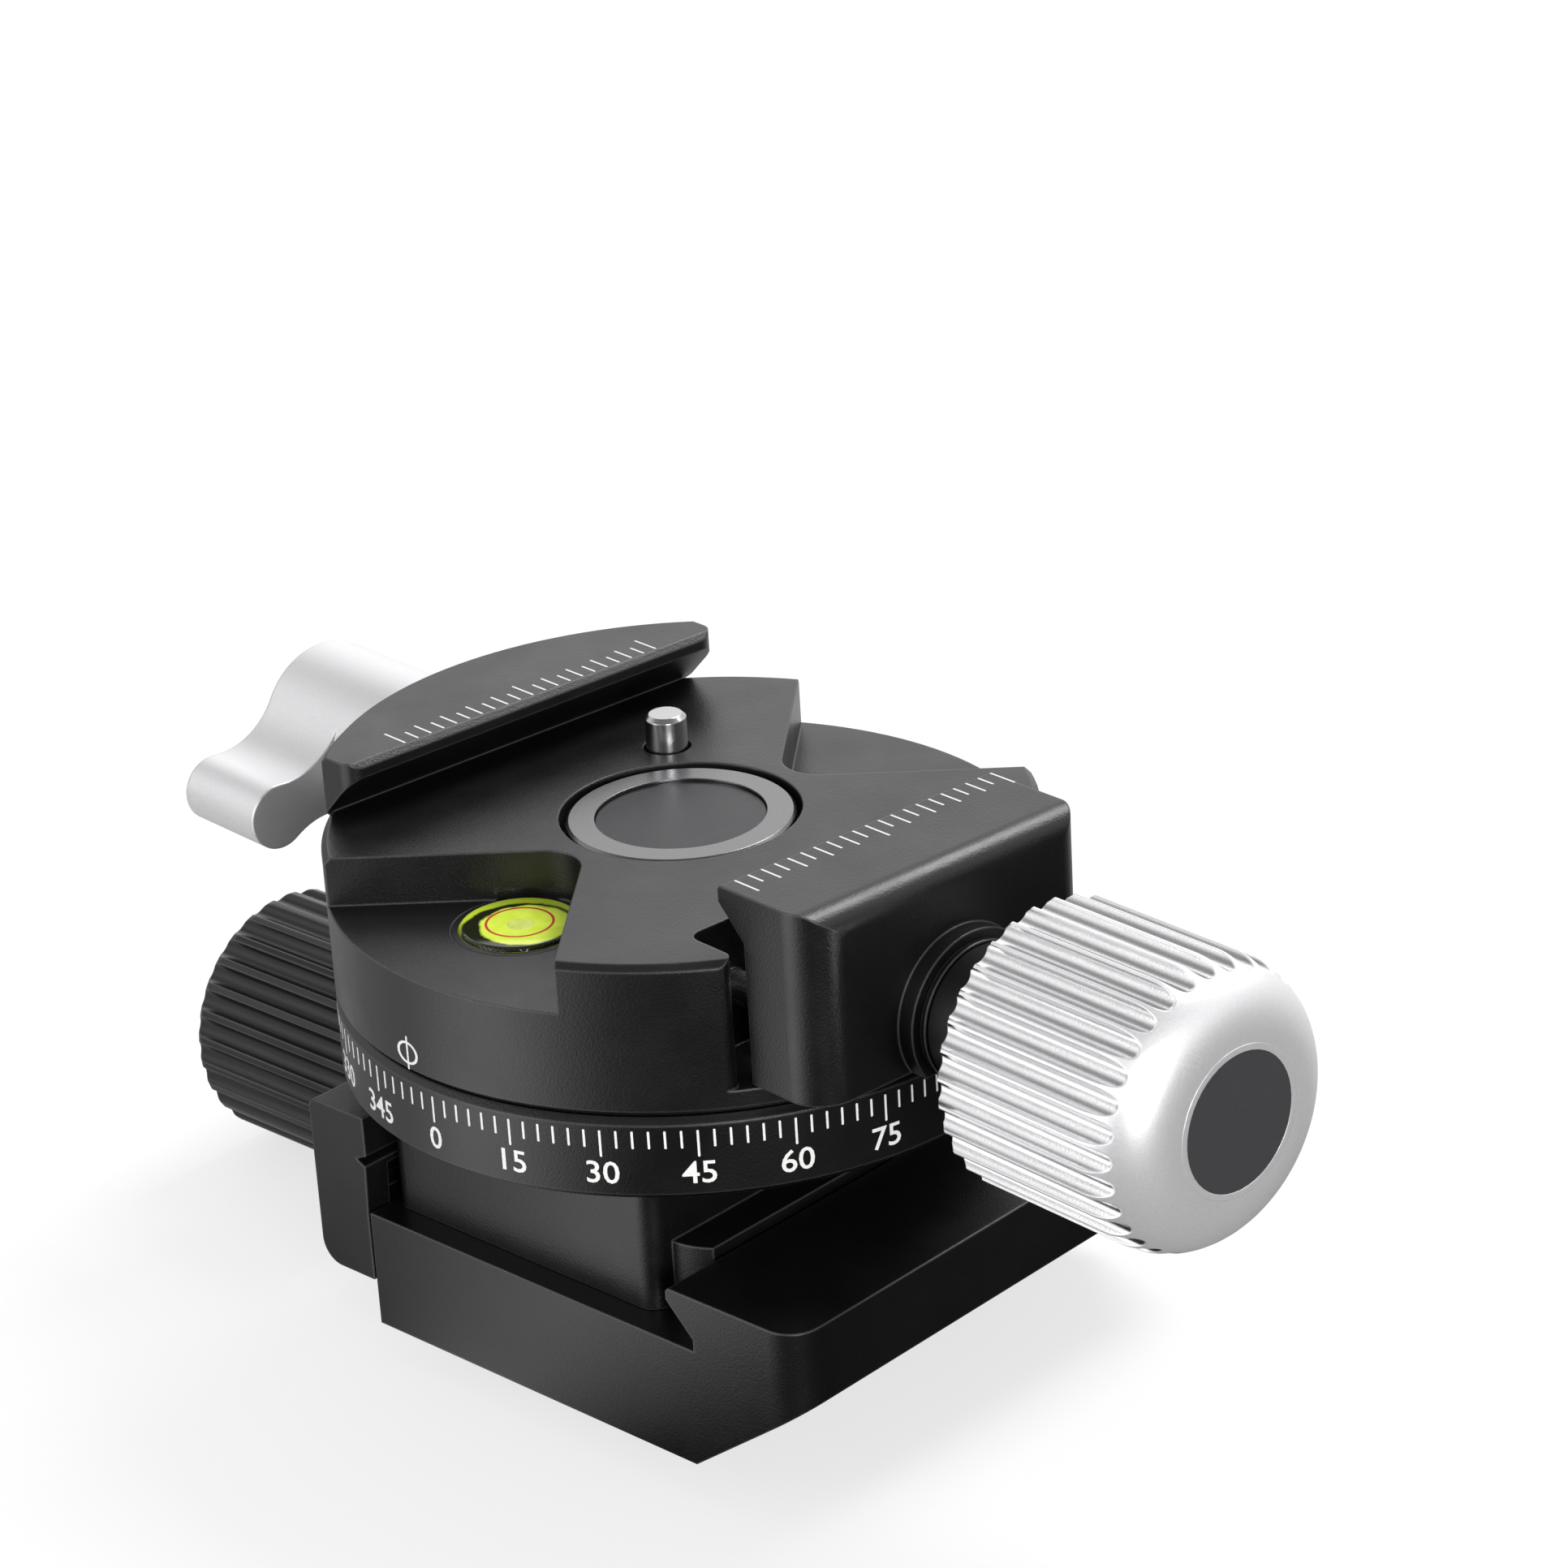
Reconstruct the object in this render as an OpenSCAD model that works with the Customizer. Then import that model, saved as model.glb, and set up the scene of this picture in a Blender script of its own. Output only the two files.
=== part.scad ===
// Panoramic base: a turning dovetail clamp on a degree ring, held in a
// quick-release base clamp. Origin on the pan axis at the underside,
// +X towards the clamp knob, +Y along the clamp channel, +Z up.

/* [Turning body] */
// Diameter of the turning body and of the degree ring
body_d = 56.4; // [55:0.2:60]
// Height of the turning body, from its underside to the clamp deck
body_h = 12.4; // [12:0.1:14.4]
// Chamfer on the round edges
edge_chamfer = 0.5; // [0.2:0.1:0.8]
// Broken edge on turned steel pieces
fine_edge = 0.1; // [0.05:0.05:0.2]
// Depth of the two wedge pockets in the deck
pocket_depth = 4.1; // [3.4:0.1:4.6]
// Distance from the pan axis to the point of each wedge
pocket_apex = 9.6; // [9.2:0.1:12]
// Sideways place of the wedge without the level
plain_wedge_x = 0.8; // [0:0.1:1]
// Rounding of the inner corner of each wedge
pocket_round = 3.4; // [2:0.1:5]
// Half angle of each wedge
pocket_angle = 43.5; // [40:0.5:46]

/* [Degree ring] */
// Height of the degree ring
ring_h = 6.7; // [6:0.1:9]
// Open seam between the ring and the turning body
seam = 0.2; // [0.15:0.05:0.4]
// Thickness of the thrust washer in the seam
thrust_t = 0.66; // [0.5:0.02:0.9]
// Outer diameter of the thrust washer
thrust_d = 49; // [44:0.5:51]
// Inner diameter of the thrust washer
thrust_bore = 27; // [25:0.5:32]

/* [Plinth] */
// Width of the plinth under the ring
plinth_w = 29.2; // [27:0.2:31]
// Length of the plinth
plinth_len = 41.4; // [39:0.2:44]
// Height of the plinth above the base channel
plinth_h = 11.4; // [11:0.1:14]
// Rounding of the plinth corners
plinth_round = 1.6; // [0.8:0.1:3]

/* [Dovetail] */
// Width of the dovetail plates that both clamps hold
plate_w = 38; // [37.6:0.1:38.4]
// Upright edge at the foot of the dovetail
plate_edge = 1.0; // [0.8:0.05:1.3]
// Height, and depth, of the sloping flank
plate_flank = 2.6; // [2.3:0.05:2.9]
// Height of the flange on the plinth
flange_h = 5.35; // [4.8:0.05:6]
// Length of the flange on the plinth
flange_len = 37; // [30:0.5:40]
// Step from the near side of the plinth out to the neck of the dovetail
plinth_step = 0.3; // [0.2:0.1:0.6]
// Rounding of the flange ends
flange_round = 6; // [1.5:0.1:6.4]

/* [Upper jaws] */
// Distance from the pan axis to the root of the rear jaw
rear_root = 19.76; // [19.4:0.02:20.2]
// Height of the upright lip on each upper jaw
lip_h = 1.3; // [0.8:0.1:1.8]
// Length of the rear jaw
rear_jaw_len = 38.2; // [34:0.2:40]
// Rounding of the rear jaw ends
rear_jaw_round = 1.6; // [0.8:0.1:2.4]
// How far the sliding jaw stands open at rest
jaw_open = 5.66; // [3:0.02:7]
// Thickness of the sliding jaw, from root to outer face
jaw_t = 7.4; // [7.2:0.1:10]
// Length of the sliding jaw
jaw_len = 28.8; // [28:0.2:30]
// Length missing at the jaw's end away from the level
jaw_trim = 1.3; // [0:0.1:1.6]
// Gap between each end of the sliding jaw and its slot
jaw_end_gap = 0.35; // [0.3:0.05:0.8]
// Depth of the slot below the deck
slot_depth = 10.55; // [10:0.05:11.4]
// Rounding of the inner slot corners
slot_round = 1.2; // [0.8:0.1:2]
// Rounding where the slot opens through the round side
slot_mouth = 1; // [0.6:0.1:2.4]
// Upright corner rounding of the sliding jaw
jaw_round = 3.1; // [1.5:0.1:4]
// The same at the jaw's end away from the level
jaw_far_round = 1.9; // [1.5:0.1:3]
// Rounding along the outer top edge of the sliding jaw
jaw_top_round = 2.0; // [0.5:0.1:2.4]
// Diameter of the boss on the sliding jaw
boss_d = 12.8; // [11.6:0.1:14]
// Height of the boss
boss_h = 1.5; // [1:0.1:2.5]

/* [Upper jaw guides] */
// Diameter of the guide pins of both jaws
guide_d = 2.5; // [2:0.1:2.6]
// Distance of each guide pin from the stud
guide_y = 10.6; // [10.4:0.1:10.8]
// Height of pins and springs above the slot floor
guide_rise = 5.05; // [4.4:0.05:5.6]
// Length of pin held in the body at rest
guide_hold = 3.3; // [2.6:0.1:4]
// Jaw wall left in front of each pin
guide_skin = 1.4; // [1:0.1:2]
// Outer diameter of the jaw springs
spring_d = 3.8; // [3.4:0.1:4]
// Wire thickness of the springs
spring_wire = 0.6; // [0.4:0.05:0.7]
// Turns of each jaw spring
spring_turns = 5; // [3:1:6]
// Distance of each spring from the stud
spring_y = 6.2; // [5.8:0.1:6.6]
// Room round each jaw spring
spring_room = 0.3; // [0.1:0.05:0.4]
// Depth of the spring bores in the body
spring_seat = 4.2; // [3:0.1:5]

/* [Clamp knob] */
// Diameter of the clamp knob
knob_d = 22.4; // [20:0.2:24]
// Length of the fluted head
knob_len = 19.4; // [17:0.2:22]
// Height of the knob axis above the slot floor
knob_rise = 3.95; // [3.8:0.05:4.6]
// Diameter of the knob neck
neck_d = 10.8; // [9.6:0.1:12]
// Length of the knob neck
neck_len = 6.6; // [5:0.1:8]
// Radius of the rounded nose
nose_r = 5; // [3:0.1:5.4]
// Number of flutes
flutes = 32; // [24:1:36]
// Radius of one flute
flute_r = 1.0; // [0.8:0.05:1.1]
// Depth of one flute
flute_depth = 0.85; // [0.4:0.05:0.9]
// Where the flutes end, measured back from the nose
flute_end = 2.6; // [2.2:0.1:6]
// Diameter of the inlay in the nose
inlay_d = 11.1; // [9:0.1:11.6]
// Thickness of the inlay
inlay_t = 0.8; // [0.5:0.1:1.2]
// Diameter of the clamp stud
stud_d = 4.9; // [4.4:0.1:5.2]
// How far the stud stands inside the closed fluted head
stud_reach = 9.4; // [7:0.1:9.8]

/* [Pan lock] */
// Height of the lever axis below the deck
lever_drop = 4.5; // [4.4:0.05:5.4]
// Diameter of the lever hub
hub_d = 12.9; // [11.6:0.1:15]
// Length of the lever hub
hub_len = 16.8; // [13:0.1:18]
// Thickness of the lever wing
wing_t = 9.5; // [6:0.1:11]
// Distance from hub to wing tip
wing_reach = 12.6; // [12:0.05:15]
// Diameter of the wing tip
wing_tip_d = 5.6; // [4.6:0.1:6.4]
// Radius of the hollow between hub and tip
wing_hollow = 6.4; // [5:0.1:8]
// Droop of the wing
wing_droop = 13; // [0:1:20]
// Gap between the lever hub and the body
lever_gap = 2; // [1:0.1:3]
// Diameter of the lock screw
lock_d = 5; // [4.4:0.1:5.2]
// Diameter of the brake shoe
shoe_d = 3.6; // [3:0.1:3.8]
// Length of the brake shoe
shoe_len = 7.4; // [6:0.1:9]
// Gap between the free brake shoe and the drum
shoe_gap = 0.35; // [0.3:0.05:0.5]
// Room for the lock screw to move in
lock_room = 1; // [0.6:0.1:2]
// Diameter of the cap in the end of the hub
lever_cap_d = 6.4; // [5.6:0.1:8]
// Thickness of that cap
lever_cap_t = 0.8; // [0.6:0.1:1.4]
// Hub wall between the cap and the lock screw
lever_web = 1; // [0.6:0.1:2]

/* [Spindle] */
// Diameter of the spindle drum
drum_d = 20; // [19:0.1:20.4]
// Diameter of the spindle neck
spindle_neck_d = 14.8; // [13:0.1:15.4]
// Thickness of the body web that the spindle holds down
web_t = 1.3; // [1.1:0.05:1.6]
// Depth of the web top below the deck
web_drop = 2.3; // [2.2:0.05:2.6]
// Outer diameter of the retaining ring
crown_d = 18.2; // [17:0.1:18.6]
// Inner diameter of the retaining ring
crown_bore = 13.6; // [12.4:0.1:14]
// Gap round the retaining ring
crown_gap = 0.5; // [0.3:0.05:0.7]
// Diameter of the spindle screws
spindle_screw_d = 4.9; // [4:0.1:5.2]
// Length of the spindle screws
spindle_screw_len = 11; // [9:0.5:12]
// Height of the spindle foot above the base channel
drum_seat = 5; // [4:0.1:6]
// Thickness of the retaining ring under its screw
crown_web = 0.6; // [0.5:0.05:0.7]
// How far the retaining ring lies below the deck
crown_sunk = 0.2; // [0:0.05:0.4]
// Thickness of the upper screw head
head_t = 0.6; // [0.4:0.05:0.65]
// Diameter of the upper screw head
head_d = 9; // [7:0.1:10]
// Thickness of the disc that covers the screw
cap_t = 0.5; // [0.3:0.05:0.6]
// Diameter of the foot screw head
foot_head_d = 8.8; // [7:0.1:10]
// Thickness of the foot screw head
foot_head_t = 2.2; // [1.6:0.1:3]

/* [Ring screws] */
// Diameter of the ring screws
ring_screw_d = 2.8; // [2:0.1:3]
// Length of the ring screws under their heads
ring_screw_len = 10; // [8:0.5:12]
// Distance of the ring screws from the pan axis along X
ring_screw_x = 10; // [9:0.1:10.6]
// Distance of the ring screws from the pan axis along Y
ring_screw_y = 14; // [13:0.1:15]
// Diameter of the ring screw heads
ring_head_d = 4.8; // [3.8:0.1:5]
// Thickness of the ring screw heads
ring_head_t = 2.2; // [1.4:0.1:2.4]

/* [Level and pin] */
// Distance of the level from the pan axis
level_y = 16.6; // [16.4:0.1:18.4]
// Diameter of the level window
level_d = 9.5; // [8.6:0.1:9.7]
// Wall of the level cup
level_wall = 0.5; // [0.3:0.05:0.6]
// Depth of the level cup
level_depth = 4; // [3:0.1:5]
// Place of the safety pin along X
pin_x = -10.7; // [-11.6:0.1:-10.6]
// Place of the safety pin along Y
pin_y = 7.8; // [7.7:0.1:8.6]
// Diameter of the safety pin
pin_d = 3.4; // [3:0.1:3.6]
// How far the pin stands above the deck
pin_h = 2.9; // [1.6:0.1:3.1]
// Broken edge at the top of the pin
pin_edge = 0.35; // [0.1:0.05:0.6]
// Gap round the safety pin
pin_gap = 0.25; // [0.1:0.05:0.4]
// Diameter of the foot of the pin
pin_foot_d = 4.7; // [4.5:0.05:4.75]
// Height of the foot of the pin
pin_foot_h = 3.1; // [2.6:0.1:3.4]
// Depth of the pin's shoulder below the deck
pin_seat = 3.8; // [3.4:0.1:4]
// Thickness of the plug under the pin
plug_t = 0.9; // [0.6:0.1:1.2]
// How far the plug sits inside the underside
plug_in = 0.1; // [0.05:0.05:0.2]
// Diameter of the bore in the pin
pin_bore_d = 2.4; // [2:0.1:2.6]
// Depth of the bore in the pin
pin_bore_h = 4.8; // [4.4:0.1:5.4]
// Floor thickness of the level cup
cup_floor = 0.6; // [0.4:0.05:0.9]
// Depth of the window below the rim of its cup
vial_drop = 0.15; // [0.05:0.05:0.3]

/* [Base clamp] */
// Turn of the base against the upper clamp
base_turn = 5.46; // [0:0.02:8]
// Length of the base clamp
base_len = 50.4; // [46:0.2:56]
// Offset of the base clamp along its channel
base_shift = 2.2; // [0:0.1:3]
// Height of the base channel floor
base_floor = 10; // [9.8:0.1:13]
// Ledge between the near side of the plinth and the sliding side of the block
base_ledge = 0.4; // [0.2:0.1:0.6]
// Distance from the pan axis to the outer side of the fixed jaw
base_right = 31.3; // [29:0.1:34]
// Height of the fixed jaw above the channel floor
base_lip = 4.6; // [4:0.05:5]
// Upright height of the outer side
base_side = 6.4; // [4:0.1:8]
// Half width of the underside towards the fixed jaw
base_under = 20.2; // [16:0.1:24]
// Upright corner rounding of the block
base_round = 2.6; // [1.6:0.1:5]
// Diameter of the threaded hole in the underside
thread_d = 7.94; // [6.4:0.02:8.2]
// Depth of the threaded hole
thread_depth = 7; // [5:0.1:7.6]

/* [Base jaw] */
// Thickness of the sliding base jaw
base_jaw_t = 6.2; // [5.6:0.1:8]
// Height of the sliding base jaw
base_jaw_h = 14.65; // [13.5:0.05:15]
// Height of the jaw's underside
base_jaw_low = 3.85; // [3:0.05:4]
// Rounding of the jaw's lower outer edge
base_jaw_round = 2; // [1:0.1:3]
// Length of the closed front end of the jaw's groove
base_jaw_stop = 2.4; // [1.5:0.1:2.6]
// How far the base jaw can open
base_travel = 6; // [4:0.1:6.5]
// Diameter of the base knob
base_knob_d = 21.8; // [20:0.2:23]
// Length of the base knob
base_knob_len = 23.2; // [19:0.1:25]
// Height of the base knob axis
base_knob_z = 7.2; // [6.8:0.05:7.4]
// Diameter of the base knob neck
base_neck_d = 11; // [9:0.1:12]
// Length of the base knob neck
base_neck_len = 8.6; // [6:0.1:10]
// Number of ribs on the base knob
ribs = 28; // [20:1:32]
// Radius of one groove between the ribs
groove_r = 0.95; // [0.7:0.05:1.05]
// Depth of one groove
groove_depth = 0.7; // [0.4:0.05:0.85]
// Rounding of the base knob ends
base_knob_round = 1.2; // [0.6:0.1:2]
// Diameter of the base stud
base_stud_d = 4; // [3.6:0.1:4.2]
// Wall between the stud and the threaded hole
base_stud_wall = 1.5; // [1:0.1:3]
// Closed end of the base knob beyond the stud
base_stud_skin = 3; // [2:0.1:5]
// Diameter of the cap in the base knob
base_cap_d = 12; // [9:0.1:14]
// Thickness of that cap
base_cap_t = 0.8; // [0.6:0.1:1.4]
// Where the grooves end, measured back from the inner end
groove_fade = 2.2; // [0.8:0.1:4]
// Distance of each base guide pin from the stud
base_guide_y = 14; // [12:0.1:18]
// Length of base guide pin held in the block when fully open
base_pin_hold = 5; // [3:0.1:6]
// Jaw wall left in front of each base guide pin
base_guide_skin = 1.2; // [0.8:0.1:2]
// Distance of each base spring from the stud
base_spring_y = 7; // [6:0.1:8]
// Length of the base springs
base_spring_len = 6; // [4:0.1:8]

/* [Fits] */
// Clearance between sliding flat faces
slide_gap = 0.05; // [0.03:0.01:0.1]
// Sideways clearance of the dovetail in its clamp
dovetail_gap = 0.2; // [0.15:0.05:0.3]
// Radial clearance of turning fits
run_gap = 0.05; // [0.03:0.01:0.08]
// Gap between faces that meet only when a jaw is closed
stop_gap = 0.3; // [0.2:0.05:0.4]
// Thickness of the knob washers
washer_t = 0.5; // [0.4:0.05:0.8]
// Radial clearance of screws, caps and pressed pins
thread_room = 0.05; // [0.03:0.01:0.1]

/* [Hidden] */
$fn = 96;

// Overlap used when one shape is cut from, or fused into, another
over = 1;
// Finishes
black = [0.07, 0.07, 0.075];
satin = [0.78, 0.78, 0.79];
bright = [0.86, 0.86, 0.87];
steel = [0.62, 0.62, 0.63];
dark = [0.2, 0.2, 0.21];
lime = [0.72, 0.85, 0.1];
ivory = [0.9, 0.9, 0.88];
bronze = [0.72, 0.6, 0.3];
// Hex sockets, as a share of their screw
socket_share = 0.8;

// Levels, from the underside up
body_r = body_d / 2;
ring_z0 = base_floor + plinth_h;
ring_z1 = ring_z0 + ring_h;
body_z0 = ring_z1 + seam;
deck_z = body_z0 + body_h;
jaw_top_z = deck_z + plate_edge + stop_gap / 2 + plate_flank + lip_h;
slot_z = deck_z - slot_depth;
pocket_z = deck_z - pocket_depth;
knob_z = slot_z + knob_rise;
lever_z = deck_z - lever_drop;
web_z1 = deck_z - web_drop;
web_z0 = web_z1 - web_t;

// Upper channel, across
front_root = plate_w - rear_root + jaw_open;
slot_x = plate_w - rear_root - 2 * dovetail_gap;
jaw_out = front_root + jaw_t;
slot_half = jaw_len / 2 + jaw_end_gap;
slot_far = slot_half - jaw_trim;
jaw_z0 = slot_z + dovetail_gap;
jaw_close = front_root - slot_x - stop_gap;
boss_x = jaw_out + boss_h;
neck_x0 = boss_x + washer_t + 2 * slide_gap;
knob_x0 = neck_x0 + neck_len;
knob_x1 = knob_x0 + knob_len;

// Guide pins and springs of the upper jaw
guide_z = slot_z + guide_rise;
guide_r = guide_d / 2;
guide_in = slot_x - guide_hold;
spring_r = spring_d / 2;
spring_x0 = slot_x - spring_seat;

// Pan lock, along X
hub_x1 = -(body_r + lever_gap);
hub_x0 = hub_x1 - hub_len;
drum_r = drum_d / 2;
shoe_x0 = -(drum_r + shoe_gap + shoe_len);
lock_x0 = hub_x0 + lever_cap_t + lever_web;

// Spindle, along Z
drum_z0 = base_floor + drum_seat;
drum_z1 = web_z0 - seam;
crown_z0 = web_z1 + seam / 2;
crown_z1 = deck_z - crown_sunk;
ring_head_z = ring_z0 + ring_h / 2;

// Safety pin, along Z
pin_r = pin_d / 2;
pin_foot_r = pin_foot_d / 2;
pin_seat_z = deck_z - pin_seat;
pin_z0 = pin_seat_z - slide_gap - pin_foot_h;
plug_z0 = body_z0 + plug_in;
pin_spring_r = pin_bore_d / 2 - 2 * run_gap;

// Base clamp, across
flange_shift = plate_w / 2 - plate_flank - plinth_w / 2 - plinth_step;
base_left = plinth_w / 2 + base_ledge;
base_top = base_floor + base_lip;
base_y0 = -base_len / 2 + base_shift;
base_y1 = base_len / 2 + base_shift;
fixed_root = flange_shift + plate_w / 2 + dovetail_gap;
fixed_lip = fixed_root - plate_flank;
jaw_root = flange_shift - plate_w / 2 - dovetail_gap;
base_jaw_x1 = -(base_left + stop_gap);
base_jaw_x0 = base_jaw_x1 - base_jaw_t + stop_gap;
base_jaw_top = base_jaw_low + base_jaw_h;
base_wall = -(plinth_w / 2 + stop_gap);
jaw_lip = jaw_root + plate_flank;
jaw_lip_z = base_floor + plate_edge + plate_flank;
base_stud_in = base_left - thread_d / 2 - base_stud_wall;
base_neck_x1 = base_jaw_x0 - washer_t - 2 * slide_gap;
base_neck_x0 = base_neck_x1 - base_neck_len;
base_knob_x0 = base_neck_x0 - base_knob_len;
base_guide_in = base_left - base_travel - base_pin_hold;

// Round bar along X
module xbar(x0, x1, r) {
  translate([x0, 0, 0]) rotate([0, 90, 0]) cylinder(h = x1 - x0, r = r);
}

// Profile in X and Z, carried along Y
module yprism(points, y0, y1) {
  translate([0, y1, 0]) rotate([90, 0, 0]) linear_extrude(y1 - y0) polygon(points);
}

// Cutter that rounds an upright corner; sx and sy give its outward side
module corner_cut(x, y, r, z0, z1, sx, sy) {
  translate([x, y, z0]) mirror([sx < 0 ? 1 : 0, 0, 0]) mirror([0, sy < 0 ? 1 : 0, 0])
    difference() {
      translate([-r, -r, 0]) cube([r + over, r + over, z1 - z0]);
      translate([-r, -r, -over]) cylinder(h = z1 - z0 + 2 * over, r = r);
    }
}

// Flat ring about Z
module washer(r0, r1, z0, z1) {
  translate([0, 0, z0]) difference() {
    cylinder(h = z1 - z0, r = r1);
    translate([0, 0, -over]) cylinder(h = z1 - z0 + 2 * over, r = r0);
  }
}

// Round drum about Z with chamfered rims
module drum(r, z0, z1, c0, c1) {
  rotate_extrude() polygon([[0, z0], [r - c0, z0], [r, z0 + c0], [r, z1 - c1], [r - c1, z1], [0, z1]]);
}

// Cutter for the upright corner where a straight wall opens through the round side:
// the wall lies at y = wall and runs out along X, with the metal at greater y
module rim_round(wall, r, z0) {
  cy = wall + r;
  cx = sqrt(pow(body_r - r, 2) - pow(cy, 2));
  out = (body_r + over) / (body_r - r);
  translate([0, 0, z0]) difference() {
    linear_extrude(body_h)
      polygon([[cx, cy], [cx, wall - over], [body_r + over, wall - over], [cx * out, cy * out]]);
    translate([cx, cy, -over]) cylinder(h = body_h + 2 * over, r = r);
  }
}

// Coil spring along Z: one tube of 6 sides, 8 rings to a turn
module coil(r, wire, length, turns) {
  sides = 6;
  per_turn = 8;
  rings = turns * per_turn;
  rise = (length - wire) / turns;
  lead = atan(rise / (2 * PI * r));
  line = [for (i = [0:rings]) let (a = 360 * i / per_turn)
    [r * cos(a), r * sin(a), wire / 2 + rise * i / per_turn]];
  points = [for (i = [0:rings], k = [0:sides - 1])
    let (a = 360 * i / per_turn, u = wire / 2 * cos(360 * k / sides), v = wire / 2 * sin(360 * k / sides))
    line[i] + [u * cos(a) + v * sin(lead) * sin(a), u * sin(a) - v * sin(lead) * cos(a), v * cos(lead)]];
  walls = [for (i = [0:rings - 1], k = [0:sides - 1], half = [0, 1])
    let (a = i * sides + k, b = i * sides + (k + 1) % sides)
    half == 0 ? [a, b, b + sides] : [a, b + sides, a + sides]];
  ends = [for (k = [1:sides - 2], last = [0, rings * sides])
    last == 0 ? [0, k + 1, k] : [last, last + k, last + k + 1]];
  apart = per_turn / 2;
  gap = min([for (i = [0:rings - apart], j = [i + apart:rings]) norm(line[i] - line[j])]) - wire;
  echo(str("Least gap of the coil to itself: ", gap, " mm"));
  polyhedron(points = points, faces = concat(walls, ends));
}

// One wedge pocket, open to the rim, with a rounded point
module wedge_pocket(sy, shift) {
  reach = body_d;
  mirror([0, sy < 0 ? 1 : 0, 0]) {
    translate([shift, pocket_apex, pocket_z]) {
      flank_x = pocket_round * cos(pocket_angle);
      flank_y = flank_x / tan(pocket_angle);
      linear_extrude(pocket_depth + over)
        polygon([[-flank_x, flank_y], [flank_x, flank_y],
                 [reach * tan(pocket_angle), reach], [-reach * tan(pocket_angle), reach]]);
      translate([0, pocket_round / sin(pocket_angle), 0])
        cylinder(h = pocket_depth + over, r = pocket_round);
    }
  }
}

module base_profile() {
  yprism([[-base_left, 0], [base_under, 0], [base_right, base_top - base_side],
          [base_right, base_top], [fixed_lip + edge_chamfer / 2, base_top],
          [fixed_lip, base_top - edge_chamfer / 2],
          [fixed_lip, base_floor + plate_edge + plate_flank],
          [fixed_root, base_floor + plate_edge], [fixed_root, base_floor],
          [-base_left, base_floor]], base_y0, base_y1);
}

module base_block() {
  color(black) rotate([0, 0, base_turn]) difference() {
    base_profile();
    corner_cut(base_right, base_y0, base_round, -over, base_top + over, 1, -1);
    corner_cut(base_right, base_y1, base_round, -over, base_top + over, 1, 1);
    rotate([0, 0, -base_turn]) translate([0, 0, -over]) cylinder(h = thread_depth + over, d = thread_d);
    translate([0, base_shift, base_knob_z]) {
      xbar(-base_left - over, -base_left + base_stud_in, base_stud_d / 2 + thread_room);
      for (s = [-1, 1]) {
        translate([0, s * base_guide_y, 0])
          xbar(-base_left - over, -base_guide_in + slide_gap, guide_r + run_gap);
        translate([0, s * base_spring_y, 0])
          xbar(-base_left - over, -base_left + base_spring_len + slide_gap, spring_r + thread_room);
      }
    }
  }
}

module base_stud() {
  color(steel) rotate([0, 0, base_turn]) translate([0, base_shift, base_knob_z])
    xbar(base_knob_x0 + base_stud_skin, -base_left + base_stud_in - slide_gap, base_stud_d / 2);
}

module base_springs() {
  color(steel) rotate([0, 0, base_turn]) translate([0, base_shift, base_knob_z])
    for (s = [-1, 1]) translate([0, s * base_spring_y, 0]) difference() {
      xbar(-base_left, -base_left + base_spring_len, spring_r);
      xbar(-base_left - over, -base_left + base_spring_len + over, spring_r - spring_wire);
    }
}

module base_jaw() {
  notch_z = base_floor + plate_edge + plate_flank + edge_chamfer;
  notch_top = base_top + edge_chamfer;
  color(black) rotate([0, 0, base_turn]) difference() {
    union() {
      yprism([[base_jaw_x0, base_jaw_low], [base_jaw_x1, base_jaw_low],
              [base_jaw_x1, base_floor - stop_gap], [jaw_root, base_floor - stop_gap],
              [jaw_root, base_floor + plate_edge], [jaw_lip, jaw_lip_z], [jaw_lip, notch_z],
              [jaw_lip - plate_edge, (notch_z + notch_top) / 2],
              [base_wall, notch_top], [base_wall, base_jaw_top],
              [base_jaw_x0 + edge_chamfer, base_jaw_top], [base_jaw_x0, base_jaw_top - edge_chamfer]],
             base_y0, base_y1);
      yprism([[jaw_root - over, base_floor - stop_gap - over], [base_jaw_x1, base_floor - stop_gap - over],
              [base_jaw_x1, base_floor - stop_gap], [jaw_lip, jaw_lip_z], [jaw_root - over, jaw_lip_z]],
             base_y0, base_y0 + base_jaw_stop);
    }
    difference() {
      translate([base_jaw_x0 - over, base_y0 - over, base_jaw_low - over])
        cube([base_jaw_round + over, base_len + 2 * over, base_jaw_round + over]);
      translate([base_jaw_x0 + base_jaw_round, base_y1 + 2 * over, base_jaw_low + base_jaw_round])
        rotate([90, 0, 0]) cylinder(h = base_len + 4 * over, r = base_jaw_round);
    }
    translate([0, base_shift, base_knob_z]) {
      xbar(base_jaw_x0 - over, base_jaw_x1 + over, base_stud_d / 2 + stop_gap);
      for (s = [-1, 1]) translate([0, s * base_guide_y, 0])
        xbar(base_jaw_x0 + base_guide_skin, base_jaw_x1 + over, guide_r + thread_room);
    }
  }
}

module base_jaw_pins() {
  color(steel) rotate([0, 0, base_turn]) translate([0, base_shift, base_knob_z])
    for (s = [-1, 1]) translate([0, s * base_guide_y, 0])
      xbar(base_jaw_x0 + base_guide_skin, -base_guide_in, guide_r);
}

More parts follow.
